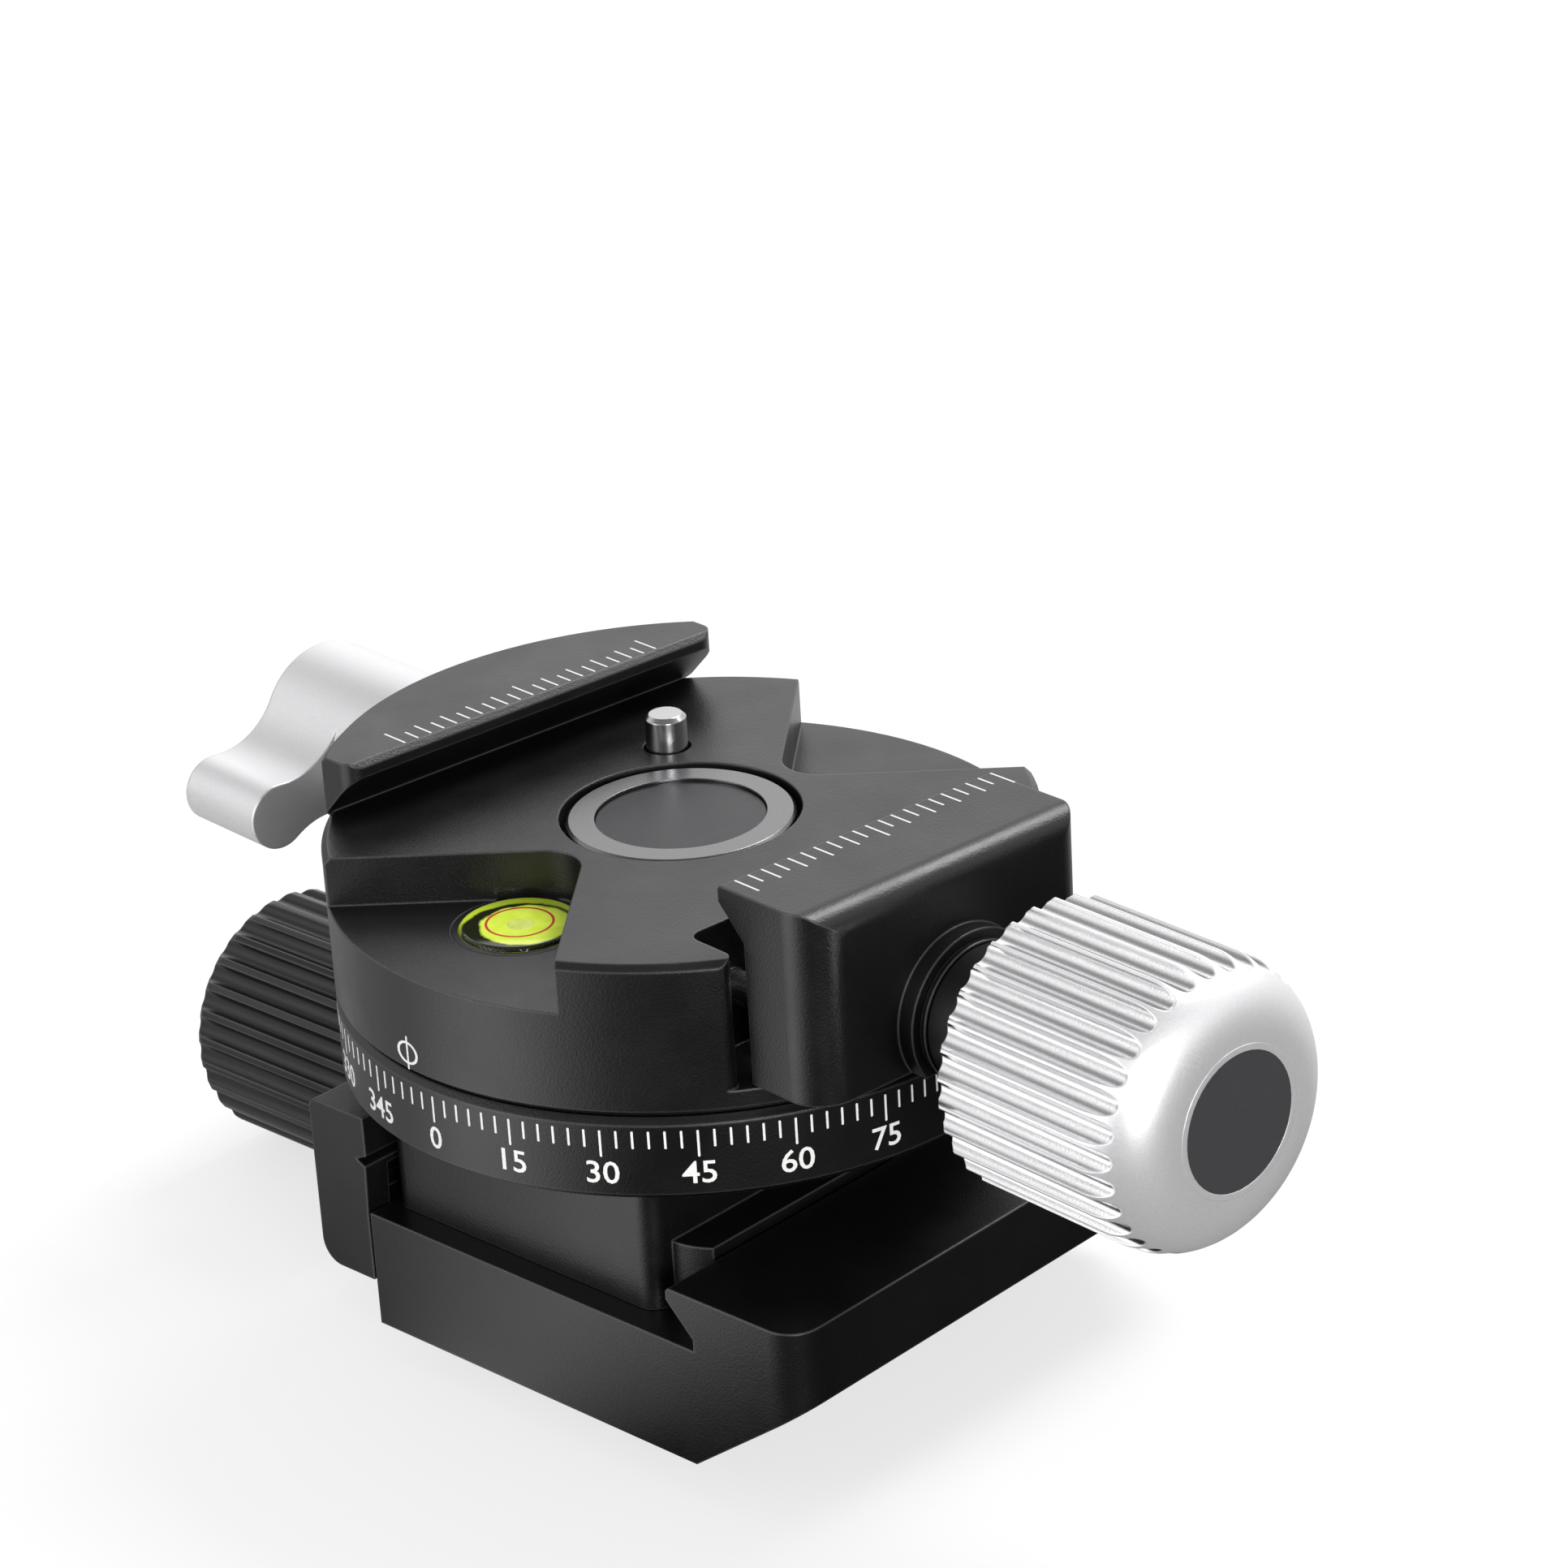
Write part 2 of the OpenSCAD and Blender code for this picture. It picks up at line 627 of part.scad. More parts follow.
// Half profile of a grooved knob with rounded ends, axis upright
module base_knob() {
  r = base_knob_d / 2;
  color(black) rotate([0, 0, base_turn]) translate([base_knob_x0, base_shift, base_knob_z]) rotate([0, 90, 0])
    difference() {
      union() {
        rotate_extrude() union() {
          translate([0, base_knob_round]) square([r, base_knob_len - 2 * base_knob_round]);
          square([r - base_knob_round, base_knob_len]);
          translate([r - base_knob_round, base_knob_round]) circle(r = base_knob_round);
          translate([r - base_knob_round, base_knob_len - base_knob_round]) circle(r = base_knob_round);
        }
        cylinder(h = base_knob_len + base_neck_len, d = base_neck_d);
      }
      for (i = [0:ribs - 1]) rotate([0, 0, i * 360 / ribs])
        translate([r + groove_r - groove_depth, 0, -over])
          cylinder(h = base_knob_len + over - groove_fade, r = groove_r);
      translate([0, 0, base_stud_skin - fine_edge])
        cylinder(h = base_knob_len + base_neck_len, r = base_stud_d / 2 + run_gap);
      translate([0, 0, -over]) cylinder(h = base_cap_t + over, d = base_cap_d + 2 * thread_room);
    }
}

module base_knob_washer() {
  color(steel) rotate([0, 0, base_turn])
    translate([base_jaw_x0 - slide_gap - washer_t, base_shift, base_knob_z])
    rotate([0, 90, 0]) washer(base_stud_d / 2 + stop_gap, base_neck_d / 2 + edge_chamfer, 0, washer_t);
}

module base_knob_cap() {
  color(dark) rotate([0, 0, base_turn]) translate([base_knob_x0, base_shift, base_knob_z]) rotate([0, 90, 0])
    cylinder(h = base_cap_t, d = base_cap_d);
}

module foot_block() {
  z0 = base_floor + slide_gap;
  half = plate_w / 2;
  color(black) rotate([0, 0, base_turn]) difference() {
    union() {
      difference() {
        translate([-plinth_w / 2, -plinth_len / 2, z0]) cube([plinth_w, plinth_len, ring_z0 - z0]);
        for (sx = [-1, 1], sy = [-1, 1])
          corner_cut(sx * plinth_w / 2, sy * plinth_len / 2, plinth_round, z0 - over, ring_z0 + over, sx, sy);
      }
      translate([flange_shift, 0, 0]) difference() {
        yprism([[-half, z0], [half, z0], [half, z0 + plate_edge],
                [half - plate_flank, z0 + plate_edge + plate_flank], [half - plate_flank, z0 + flange_h],
                [plate_flank - half, z0 + flange_h], [plate_flank - half, z0 + plate_edge + plate_flank],
                [-half, z0 + plate_edge]], -flange_len / 2, flange_len / 2);
        for (sx = [-1, 1], sy = [-1, 1])
          corner_cut(sx * half, sy * flange_len / 2, flange_round, z0 - over, z0 + flange_h + over, sx, sy);
      }
    }
    translate([0, 0, drum_z0]) cylinder(h = ring_z0, r = drum_r + thread_room);
    translate([0, 0, z0 - over]) cylinder(h = drum_z0 + over, d = spindle_screw_d + 2 * thread_room);
    translate([0, 0, z0 - over])
      cylinder(h = foot_head_t + over + thread_room, d = foot_head_d + 2 * thread_room);
    for (sx = [-1, 1], sy = [-1, 1])
      translate([sx * ring_screw_x, sy * ring_screw_y, ring_head_z - ring_screw_len])
        cylinder(h = ring_screw_len, d = ring_screw_d + 2 * thread_room);
  }
}

module foot_screw() {
  z0 = base_floor + slide_gap + thread_room;
  color(steel) difference() {
    union() {
      translate([0, 0, z0]) cylinder(h = foot_head_t, d = foot_head_d);
      translate([0, 0, z0]) cylinder(h = spindle_screw_len, d = spindle_screw_d);
    }
    translate([0, 0, z0 - over])
      cylinder(h = foot_head_t / 2 + over, d = spindle_screw_d * socket_share, $fn = 6);
  }
}

module degree_ring() {
  color(black) difference() {
    drum(body_r, ring_z0, ring_z1, edge_chamfer, edge_chamfer);
    translate([0, 0, ring_z0 - over]) cylinder(h = ring_h + 2 * over, r = drum_r + thread_room);
    washer(thrust_bore / 2 - stop_gap, thrust_d / 2 + stop_gap, body_z0 - slide_gap - thrust_t, body_z0);
    rotate([0, 0, base_turn]) for (sx = [-1, 1], sy = [-1, 1])
      translate([sx * ring_screw_x, sy * ring_screw_y, 0]) {
        translate([0, 0, ring_z0 - over]) cylinder(h = ring_h, d = ring_screw_d + 2 * thread_room);
        translate([0, 0, ring_head_z]) cylinder(h = ring_h, d = ring_head_d + 2 * thread_room);
      }
  }
}

module ring_screws() {
  color(steel) rotate([0, 0, base_turn]) for (sx = [-1, 1], sy = [-1, 1])
    translate([sx * ring_screw_x, sy * ring_screw_y, 0]) difference() {
      union() {
        translate([0, 0, ring_head_z]) cylinder(h = ring_head_t, d = ring_head_d);
        translate([0, 0, ring_head_z - ring_screw_len + slide_gap])
          cylinder(h = ring_screw_len, d = ring_screw_d);
      }
      translate([0, 0, ring_head_z + ring_head_t / 2])
        cylinder(h = ring_head_t, d = ring_screw_d * socket_share, $fn = 6);
    }
}

module spindle() {
  color(steel) difference() {
    union() {
      drum(drum_r, drum_z0, drum_z1, edge_chamfer, fine_edge);
      translate([0, 0, drum_z1 - over]) cylinder(h = crown_z0 - drum_z1 + over, d = spindle_neck_d);
    }
    translate([0, 0, drum_z0 - over]) cylinder(h = spindle_screw_len, d = spindle_screw_d + 2 * thread_room);
    translate([0, 0, crown_z0 - spindle_screw_len])
      cylinder(h = spindle_screw_len + over, d = spindle_screw_d + 2 * thread_room);
  }
}

module spindle_screw() {
  z1 = crown_z0 + crown_web;
  color(steel) difference() {
    union() {
      translate([0, 0, z1]) cylinder(h = head_t, d = head_d);
      translate([0, 0, z1 + head_t - spindle_screw_len]) cylinder(h = spindle_screw_len, d = spindle_screw_d);
    }
    translate([0, 0, z1 + head_t / 3]) cylinder(h = head_t, d = spindle_screw_d * socket_share, $fn = 6);
  }
}

module spindle_crown() {
  color(bright) difference() {
    drum(crown_d / 2, crown_z0, crown_z1, fine_edge, edge_chamfer / 2);
    translate([0, 0, crown_z0 + crown_web]) cylinder(h = crown_z1, d = crown_bore);
    translate([0, 0, crown_z0 - over]) cylinder(h = crown_z1, d = spindle_screw_d + 2 * thread_room);
  }
}

module spindle_cap() {
  color(dark) translate([0, 0, crown_z0 + crown_web + head_t + thread_room])
    cylinder(h = cap_t, d = crown_bore - 2 * thread_room);
}

module thrust_washer() {
  z1 = body_z0 - slide_gap;
  color(ivory) washer(thrust_bore / 2, thrust_d / 2, z1 - thrust_t, z1);
}

// Fixed rear jaw: a slice of the round body with an undercut lip
module rear_jaw() {
  lip_x = -rear_root + plate_flank;
  z1 = deck_z + plate_edge + stop_gap / 2;
  difference() {
    intersection() {
      drum(body_r, deck_z - over, jaw_top_z, 0, edge_chamfer);
      yprism([[-body_d, deck_z - over], [deck_z - over - z1 - rear_root, deck_z - over],
              [lip_x, z1 + plate_flank], [lip_x, jaw_top_z - edge_chamfer],
              [lip_x - edge_chamfer, jaw_top_z], [-body_d, jaw_top_z]], -rear_jaw_len / 2, rear_jaw_len / 2);
    }
    for (s = [-1, 1])
      corner_cut(lip_x, s * rear_jaw_len / 2, rear_jaw_round, deck_z, jaw_top_z + over, 1, s);
  }
}

module top_body() {
  color(black) difference() {
    union() {
      drum(body_r, body_z0, deck_z, edge_chamfer, edge_chamfer);
      rear_jaw();
    }
    wedge_pocket(-1, 0);
    wedge_pocket(1, plain_wedge_x);
    // slot of the sliding jaw, with rounded inner corners
    difference() {
      translate([slot_x, -slot_half, slot_z]) cube([body_d, slot_half + slot_far, body_d]);
      corner_cut(slot_x, -slot_half, slot_round, slot_z - over, deck_z + over, -1, -1);
      corner_cut(slot_x, slot_far, slot_round, slot_z - over, deck_z + over, -1, 1);
    }
    mirror([0, 1, 0]) rim_round(slot_half, slot_mouth, slot_z);
    rim_round(slot_far, slot_mouth, slot_z);
    // hollow that the knob's neck and washer enter as the jaw closes
    translate([0, 0, knob_z])
      xbar(boss_x - jaw_close - stop_gap, body_d, neck_d / 2 + edge_chamfer / 2 + stop_gap);
    // seat of the spindle
    translate([0, 0, body_z0 - over]) cylinder(h = web_z0 - body_z0 + over, r = drum_r + run_gap);
    translate([0, 0, body_z0]) cylinder(h = body_h, d = spindle_neck_d + 2 * run_gap);
    translate([0, 0, web_z1]) cylinder(h = body_h, d = crown_d + 2 * crown_gap);
    // stud, guide pins and springs of the sliding jaw
    translate([0, 0, knob_z]) xbar(drum_r + 2 * stop_gap, slot_x + over, stud_d / 2 + thread_room);
    for (s = [-1, 1]) {
      translate([0, s * guide_y, guide_z])
        xbar(guide_in - jaw_close - stop_gap, slot_x + over, guide_r + run_gap);
      translate([0, s * spring_y, guide_z]) xbar(spring_x0, slot_x + over, spring_r + spring_room);
    }
    // pan lock
    translate([0, 0, lever_z]) {
      xbar(-body_d, shoe_x0 + lock_room, lock_d / 2 + run_gap);
      xbar(shoe_x0, -drum_r + stop_gap, shoe_d / 2 + run_gap);
    }
    // level
    translate([0, -level_y, pocket_z - level_depth])
      cylinder(h = level_depth + over, d = level_d + 2 * level_wall + 2 * thread_room);
    // safety pin
    translate([pin_x, pin_y, body_z0 - over])
      cylinder(h = pin_seat_z - body_z0 + over, r = pin_foot_r + run_gap);
    translate([pin_x, pin_y, body_z0]) cylinder(h = body_h + over, r = pin_r + pin_gap);
  }
}

module clamp_stud() {
  color(steel) translate([0, 0, knob_z]) xbar(drum_r + 3 * stop_gap, knob_x0 + stud_reach, stud_d / 2);
}

module jaw_springs() {
  x1 = front_root + 2 * stop_gap;
  x0 = spring_x0 + slide_gap;
  color(steel) for (s = [-1, 1]) translate([x0, s * spring_y, guide_z]) rotate([0, 90, 0])
    coil(spring_r - spring_wire / 2, spring_wire, x1 - x0, spring_turns);
}

module level_cup() {
  color(steel) translate([0, -level_y, 0]) difference() {
    translate([0, 0, pocket_z - level_depth + slide_gap])
      cylinder(h = level_depth - slide_gap, d = level_d + 2 * level_wall);
    translate([0, 0, pocket_z - level_depth + cup_floor]) cylinder(h = level_depth, d = level_d);
  }
}

module level_vial() {
  color(lime) translate([0, -level_y, pocket_z - level_depth + cup_floor + slide_gap])
    cylinder(h = level_depth - cup_floor - slide_gap - vial_drop, d = level_d - 2 * thread_room);
}

module pin_plug() {
  color(steel) translate([pin_x, pin_y, plug_z0]) cylinder(h = plug_t, r = pin_foot_r);
}

module pin_spring() {
  z0 = plug_z0 + plug_t;
  z1 = pin_z0 + pin_bore_h - pin_h - stop_gap;
  color(steel) translate([pin_x, pin_y, 0]) washer(pin_spring_r - spring_wire, pin_spring_r, z0, z1);
}

module safety_pin() {
  color(bright) translate([pin_x, pin_y, 0]) difference() {
    union() {
      translate([0, 0, pin_z0]) cylinder(h = pin_foot_h, r = pin_foot_r);
      drum(pin_r, pin_z0, deck_z + pin_h, fine_edge, pin_edge);
    }
    translate([0, 0, pin_z0 - over]) cylinder(h = pin_bore_h + over, d = pin_bore_d);
  }
}

module clamp_jaw() {
  half = jaw_len / 2;
  far = half - jaw_trim;
  lip_x = front_root - plate_flank;
  z1 = deck_z + plate_edge + stop_gap / 2;
  color(black) difference() {
    union() {
      difference() {
        yprism([[front_root, jaw_z0], [jaw_out, jaw_z0], [jaw_out, jaw_top_z],
                [lip_x + edge_chamfer / 2, jaw_top_z], [lip_x, jaw_top_z - edge_chamfer / 2],
                [lip_x, z1 + plate_flank], [front_root, z1]], -half, far);
        corner_cut(jaw_out, -half, jaw_round, jaw_z0 - over, jaw_top_z + over, 1, -1);
        corner_cut(jaw_out, far, jaw_far_round, jaw_z0 - over, jaw_top_z + over, 1, 1);
        difference() {
          translate([jaw_out - jaw_top_round, -half - over, jaw_top_z - jaw_top_round])
            cube([jaw_top_round + over, jaw_len + 2 * over, jaw_top_round + over]);
          translate([jaw_out - jaw_top_round, half + 2 * over, jaw_top_z - jaw_top_round])
            rotate([90, 0, 0]) cylinder(h = jaw_len + 4 * over, r = jaw_top_round);
        }
      }
      intersection() {
        translate([0, 0, knob_z]) xbar(jaw_out - over, boss_x, boss_d / 2);
        translate([jaw_out - 2 * over, -boss_d, jaw_z0]) cube([boss_h + 4 * over, 2 * boss_d, boss_d * 2]);
      }
    }
    translate([0, 0, knob_z]) xbar(front_root - over, boss_x + over, stud_d / 2 + stop_gap);
    for (s = [-1, 1]) {
      translate([0, s * guide_y, guide_z])
        xbar(front_root - over, jaw_out - guide_skin, guide_r + thread_room);
      translate([0, s * spring_y, guide_z])
        xbar(front_root - over, front_root + jaw_close + 3 * stop_gap, spring_r + spring_room);
    }
  }
}

module jaw_pins() {
  color(steel) for (s = [-1, 1])
    translate([0, s * guide_y, guide_z]) xbar(guide_in, jaw_out - guide_skin, guide_r);
}

module clamp_knob() {
  r = knob_d / 2;
  body = knob_len - nose_r;
  color(bright) translate([knob_x0, 0, knob_z]) rotate([0, 90, 0]) difference() {
    union() {
      rotate_extrude() union() {
        polygon([[0, 0], [r - edge_chamfer, 0], [r, edge_chamfer], [r, body], [0, body]]);
        square([r - nose_r, knob_len]);
        translate([r - nose_r, body]) circle(r = nose_r);
      }
      translate([0, 0, -neck_len]) cylinder(h = neck_len + over, d = neck_d);
    }
    for (i = [0:flutes - 1]) rotate([0, 0, i * 360 / flutes]) translate([r + flute_r - flute_depth, 0, 0]) {
      translate([0, 0, -over]) cylinder(h = knob_len - flute_end + over, r = flute_r);
      translate([0, 0, knob_len - flute_end]) sphere(r = flute_r);
    }
    translate([0, 0, -neck_len - over])
      cylinder(h = neck_len + over + stud_reach + jaw_close + stop_gap, r = stud_d / 2 + run_gap);
    translate([0, 0, knob_len - inlay_t]) cylinder(h = inlay_t + over, d = inlay_d + 2 * thread_room);
  }
}

module knob_inlay() {
  color(dark) translate([knob_x1 - inlay_t, 0, knob_z]) rotate([0, 90, 0])
    cylinder(h = inlay_t, d = inlay_d);
}

module knob_washer() {
  color(steel) translate([boss_x + slide_gap, 0, knob_z]) rotate([0, 90, 0])
    washer(stud_d / 2 + stop_gap, neck_d / 2 + edge_chamfer / 2, 0, washer_t);
}

// Outline of the lever wing: hub and tip joined by two hollow sides
module wing_outline() {
  hub_r = hub_d / 2;
  tip_r = wing_tip_d / 2;
  a = hub_r + wing_hollow;
  b = tip_r + wing_hollow;
  along = (a * a - b * b + wing_reach * wing_reach) / (2 * wing_reach);
  side = sqrt(a * a - along * along);
  difference() {
    polygon([[0, 0], [hub_r * along / a, hub_r * side / a],
             [wing_reach + tip_r * (along - wing_reach) / b, tip_r * side / b], [wing_reach, 0],
             [wing_reach + tip_r * (along - wing_reach) / b, -tip_r * side / b],
             [hub_r * along / a, -hub_r * side / a]]);
    for (s = [-1, 1]) translate([along, s * side]) circle(r = wing_hollow);
  }
}

module pan_lever() {
  color(satin) translate([hub_x0, 0, lever_z]) difference() {
    union() {
      xbar(0, hub_len, hub_d / 2);
      rotate([wing_droop, 0, 0]) {
        rotate([0, 90, 0]) rotate([0, 0, -90]) linear_extrude(wing_t) wing_outline();
        translate([0, -wing_reach, 0]) xbar(0, wing_t, wing_tip_d / 2);
      }
    }
    xbar(lever_cap_t + lever_web, hub_len + over, lock_d / 2 + thread_room);
    xbar(-over, lever_cap_t, lever_cap_d / 2 + thread_room);
  }
}

module lock_screw() {
  color(steel) translate([0, 0, lever_z]) xbar(lock_x0, shoe_x0 - slide_gap, lock_d / 2);
}

module lever_cap() {
  color(dark) translate([hub_x0, 0, lever_z]) difference() {
    xbar(0, lever_cap_t, lever_cap_d / 2);
    translate([-over, 0, 0]) rotate([0, 90, 0])
      cylinder(h = lever_cap_t / 2 + over, d = lever_cap_d / 2, $fn = 6);
  }
}

module brake_shoe() {
  color(bronze) difference() {
    translate([0, 0, lever_z]) xbar(shoe_x0, -drum_r + over, shoe_d / 2);
    translate([0, 0, body_z0]) cylinder(h = body_h, r = drum_r + shoe_gap);
  }
}

base_block();
base_stud();
base_springs();
base_jaw();
base_jaw_pins();
base_knob();
base_knob_washer();
base_knob_cap();
foot_block();
foot_screw();
degree_ring();
ring_screws();
spindle();
spindle_screw();
spindle_crown();
spindle_cap();
thrust_washer();
top_body();
clamp_stud();
jaw_springs();
level_cup();
level_vial();
pin_spring();
pin_plug();
clamp_jaw();
jaw_pins();
clamp_knob();
knob_inlay();
knob_washer();
pan_lever();
lock_screw();
lever_cap();
brake_shoe();
safety_pin();
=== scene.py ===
"""Looks of a panoramic base: finishes, painted marks, threads and level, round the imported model."""
import math

import bpy
from mathutils import Matrix, Vector


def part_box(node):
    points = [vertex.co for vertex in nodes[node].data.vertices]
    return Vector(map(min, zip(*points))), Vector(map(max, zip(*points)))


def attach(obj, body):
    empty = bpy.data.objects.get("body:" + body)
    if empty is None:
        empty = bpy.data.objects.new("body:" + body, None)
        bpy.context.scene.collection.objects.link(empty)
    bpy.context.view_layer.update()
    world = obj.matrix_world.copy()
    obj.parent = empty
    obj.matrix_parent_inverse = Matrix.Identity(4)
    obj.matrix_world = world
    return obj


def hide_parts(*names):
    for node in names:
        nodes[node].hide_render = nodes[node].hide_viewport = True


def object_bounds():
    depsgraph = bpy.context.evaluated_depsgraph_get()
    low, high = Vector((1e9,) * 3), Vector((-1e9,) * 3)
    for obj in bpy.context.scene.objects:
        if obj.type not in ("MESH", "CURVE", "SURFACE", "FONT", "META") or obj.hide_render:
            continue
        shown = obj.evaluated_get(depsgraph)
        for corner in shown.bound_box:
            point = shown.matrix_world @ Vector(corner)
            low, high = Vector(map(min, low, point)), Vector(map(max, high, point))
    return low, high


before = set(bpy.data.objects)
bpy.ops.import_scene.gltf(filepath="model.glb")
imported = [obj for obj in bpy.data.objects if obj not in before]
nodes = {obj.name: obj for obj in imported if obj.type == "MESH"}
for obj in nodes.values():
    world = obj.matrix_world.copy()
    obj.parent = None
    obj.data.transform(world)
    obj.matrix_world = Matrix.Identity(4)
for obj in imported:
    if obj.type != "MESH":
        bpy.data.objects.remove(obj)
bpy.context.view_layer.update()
MM = 0.001

# Camera, as the photograph was taken
CAMERA_PLACE = (0.257842, -0.209922, 0.185783)
CAMERA_TURN = (66.633, 3.1393, 48.0784)
CAMERA_LENS = 106.265
CAMERA_SENSOR = 36.0
CAMERA_NEAR = 0.01

# Paint in the engraved marks: its thickness, how much of that lies below the metal, and its lines
PAINT = 0.03 * MM
PAINT_SINK = 0.015 * MM
TICK_WIDTH = 0.18 * MM
TICK_ROUND = 0.3
RING_SIDES = 48

# Degree ring: its zero is turned with the base, and each long mark has a number below it
BASE_TURN = math.radians(5.46)
MARKS_BACK = math.radians(0.4)
TICK_STEP = 2.5
TICK_SHORT = 1.46 * MM
TICK_LONG = 2.2 * MM
TICK_TOP = 27.2 * MM
NUMBER_STEP = 15
NUMBER_HEIGHT = 1.9 * MM
NUMBER_LEVEL = 23.7 * MM
NUMBER_WIDEN = 1.06

# Digits in the units of a text of size 1
DIGIT_HEIGHT = 0.73
DIGIT_DEPTH = 0.01
DIGIT_SWELL = 0.008
DIGIT_CURVE = 3

# Index mark on the turning body: a circle crossed by a line
INDEX_LEVEL = 30.1 * MM
INDEX_LINE = 2.8 * MM
INDEX_INNER = 0.75 * MM
INDEX_OUTER = 0.95 * MM
INDEX_STRETCH = 1.3
INDEX_SINK = 0.008 * MM

# Rules on the jaws: lines on each side of the middle one, and where each rule starts
RULE_SIDE = 10
RULE_STEP = 1.302 * MM
RULE_LONG = 2.7 * MM
RULE_MIDDLE = 2.2 * MM
RULE_SHORT = 1.7 * MM
REAR_RULE_X = -17.75 * MM
FRONT_RULE_INSET = 0.35 * MM

# Threads: the clamp stud's, and the 3/8-16 one in the base
THREAD_STEPS = 28
RIDGE_FOOT = 0.42
STUD_PITCH = 1.0 * MM
STUD_RIDGE = 0.18 * MM
STUD_SINK = 0.03 * MM
STUD_FROM = 18.3 * MM
STUD_TURNS = 5
HOLE_RADIUS = 3.98 * MM
HOLE_PITCH = 1.5875 * MM
HOLE_RIDGE = 0.3 * MM
HOLE_FROM = 1.1 * MM
HOLE_TURNS = 3
WELD = 0.001 * MM

# Level: the window stands proud of the vial, and the bubble is a cut lens just under its top
WINDOW_SIDES = 72
WINDOW_PROUD = 0.45 * MM
WINDOW_BEVEL = 0.3 * MM
LEVEL_RING_INNER = 2.5 * MM
LEVEL_RING_OUTER = 2.7 * MM
BUBBLE_RADIUS = 1.3 * MM
BUBBLE_FLATTEN = 0.34
BUBBLE_TOP = 0.3 * MM
BUBBLE_SINK = 0.26 * MM
BUBBLE_X = 0.35 * MM
BUBBLE_Y = -0.2 * MM
CUP_CLEAR = 0.06 * MM
# Directions across and away, as the camera looks, along which the window's painted refraction is set
LEVEL_ACROSS = (0.631, 0.775, 0.0)
LEVEL_BEYOND = (-0.775, 0.631, 0.0)

# Clamp knob: its bright head, its rounded nose and the bezel round the inlay
KNOB_HEAD = 19.42 * MM
KNOB_NOSE = 5 * MM
RIM_INNER = 5.35 * MM
RIM_OUTER = 5.85 * MM
RIM_THICK = 0.4 * MM
RIM_PROUD = 0.03 * MM

# Grain of the skins. Real blasting grit and tool marks are near 0.05 mm: drawn coarser, to show.
BLASTED = 0.2 * MM
TURNED = 0.16 * MM
DRAWN = 0.12 * MM
FACED = 0.1 * MM
CLOUD = 7 * MM

# The span in which most of a noise lies
NOISE_LOW = 0.3
NOISE_HIGH = 0.7

# Brightness of the studio's sides: plain wall, soft box, black flag, pale wall and a dark corner
LEFT_WALL = 0.6
FRONT_BOX = 2.4
RIGHT_FLAG = 0.05
BACK_WALL = 0.9
DARK_CORNER = 0.15

# Where each side starts and ends round the object, in turns from -X by way of -Y
STUDIO = (
    (0.0, LEFT_WALL),
    (0.15, LEFT_WALL),
    (0.21, FRONT_BOX),
    (0.24, FRONT_BOX),
    (0.33, RIGHT_FLAG),
    (0.62, RIGHT_FLAG),
    (0.78, BACK_WALL),
    (0.9, BACK_WALL),
    (0.96, DARK_CORNER),
    (1.0, LEFT_WALL),
)
STUDIO_PEAK = 2.5

# Floor: reflections see it glow with painted studio light, with painted shade close to the object; the eye
# sees it pure white far away
FLOOR_SIZE = 6.0
FLOOR_GAP = 0.05 * MM
DIM_FROM, DIM_TO, DIM_LEVEL = 35 * MM, 85 * MM, 0.45
WHITE_FROM, WHITE_TO, WHITE_SHARE = 0.2, 0.7, 0.7

# Sky, by the height of a direction: the studio ring low down, a darker ceiling high up
SKY_AS_LIGHT = 0.6
RING_FROM, RING_TO = 0.12, 0.4
CEILING_FROM, CEILING_TO, CEILING_DIM = 0.56, 0.8, 0.75

# Lamps: name, place, aim, width in metres and power in watts
LAMPS = (
    ("top_light", (0.03, 0.53, 0.75), (0.0, 0.0, 0.03), 0.4, 6.0),
    ("back_light", (-0.63, 0.51, 0.42), (0.0, 0.0, 0.03), 0.8, 0.8),
    ("side_light", (0.87, -0.42, 0.26), (0.05, 0.0, 0.034), 0.36, 6.0),
    ("front_light", (-0.25, -0.8, 0.35), (0.0, 0.0, 0.03), 0.5, 1.5),
)

bpy.context.scene.view_settings.view_transform = "Standard"


def linear(code):
    """An sRGB hex colour as linear red, green, blue and alpha."""
    parts = [int(code[i:i + 2], 16) / 255 for i in (1, 3, 5)]
    return tuple(c / 12.92 if c <= 0.04045 else ((c + 0.055) / 1.055) ** 2.4 for c in parts) + (1.0,)


def add(tree, kind, inputs=None, **settings):
    """Adds one node with its settings. Each input is a plain value or another node's output."""
    made = tree.nodes.new(kind)
    for key, value in settings.items():
        setattr(made, key, value)
    for key, value in (inputs or {}).items():
        if isinstance(value, bpy.types.NodeSocket):
            tree.links.new(value, made.inputs[key])
        else:
            made.inputs[key].default_value = value
    return made


def blank_finish(name):
    """A new material: itself, its node tree, its one shader and the place on the object."""
    made = bpy.data.materials.new(name)
    made.use_nodes = True
    tree = made.node_tree
    shader = tree.nodes["Principled BSDF"]
    where = add(tree, "ShaderNodeTexCoord").outputs["Object"]
    return made, tree, shader, where


def join_up(tree, shader, colour, rough, normal=None):
    """Leads the finished colour, roughness and normal to the shader."""
    tree.links.new(colour, shader.inputs["Base Color"])
    tree.links.new(rough, shader.inputs["Roughness"])
    if normal:
        tree.links.new(normal, shader.inputs["Normal"])


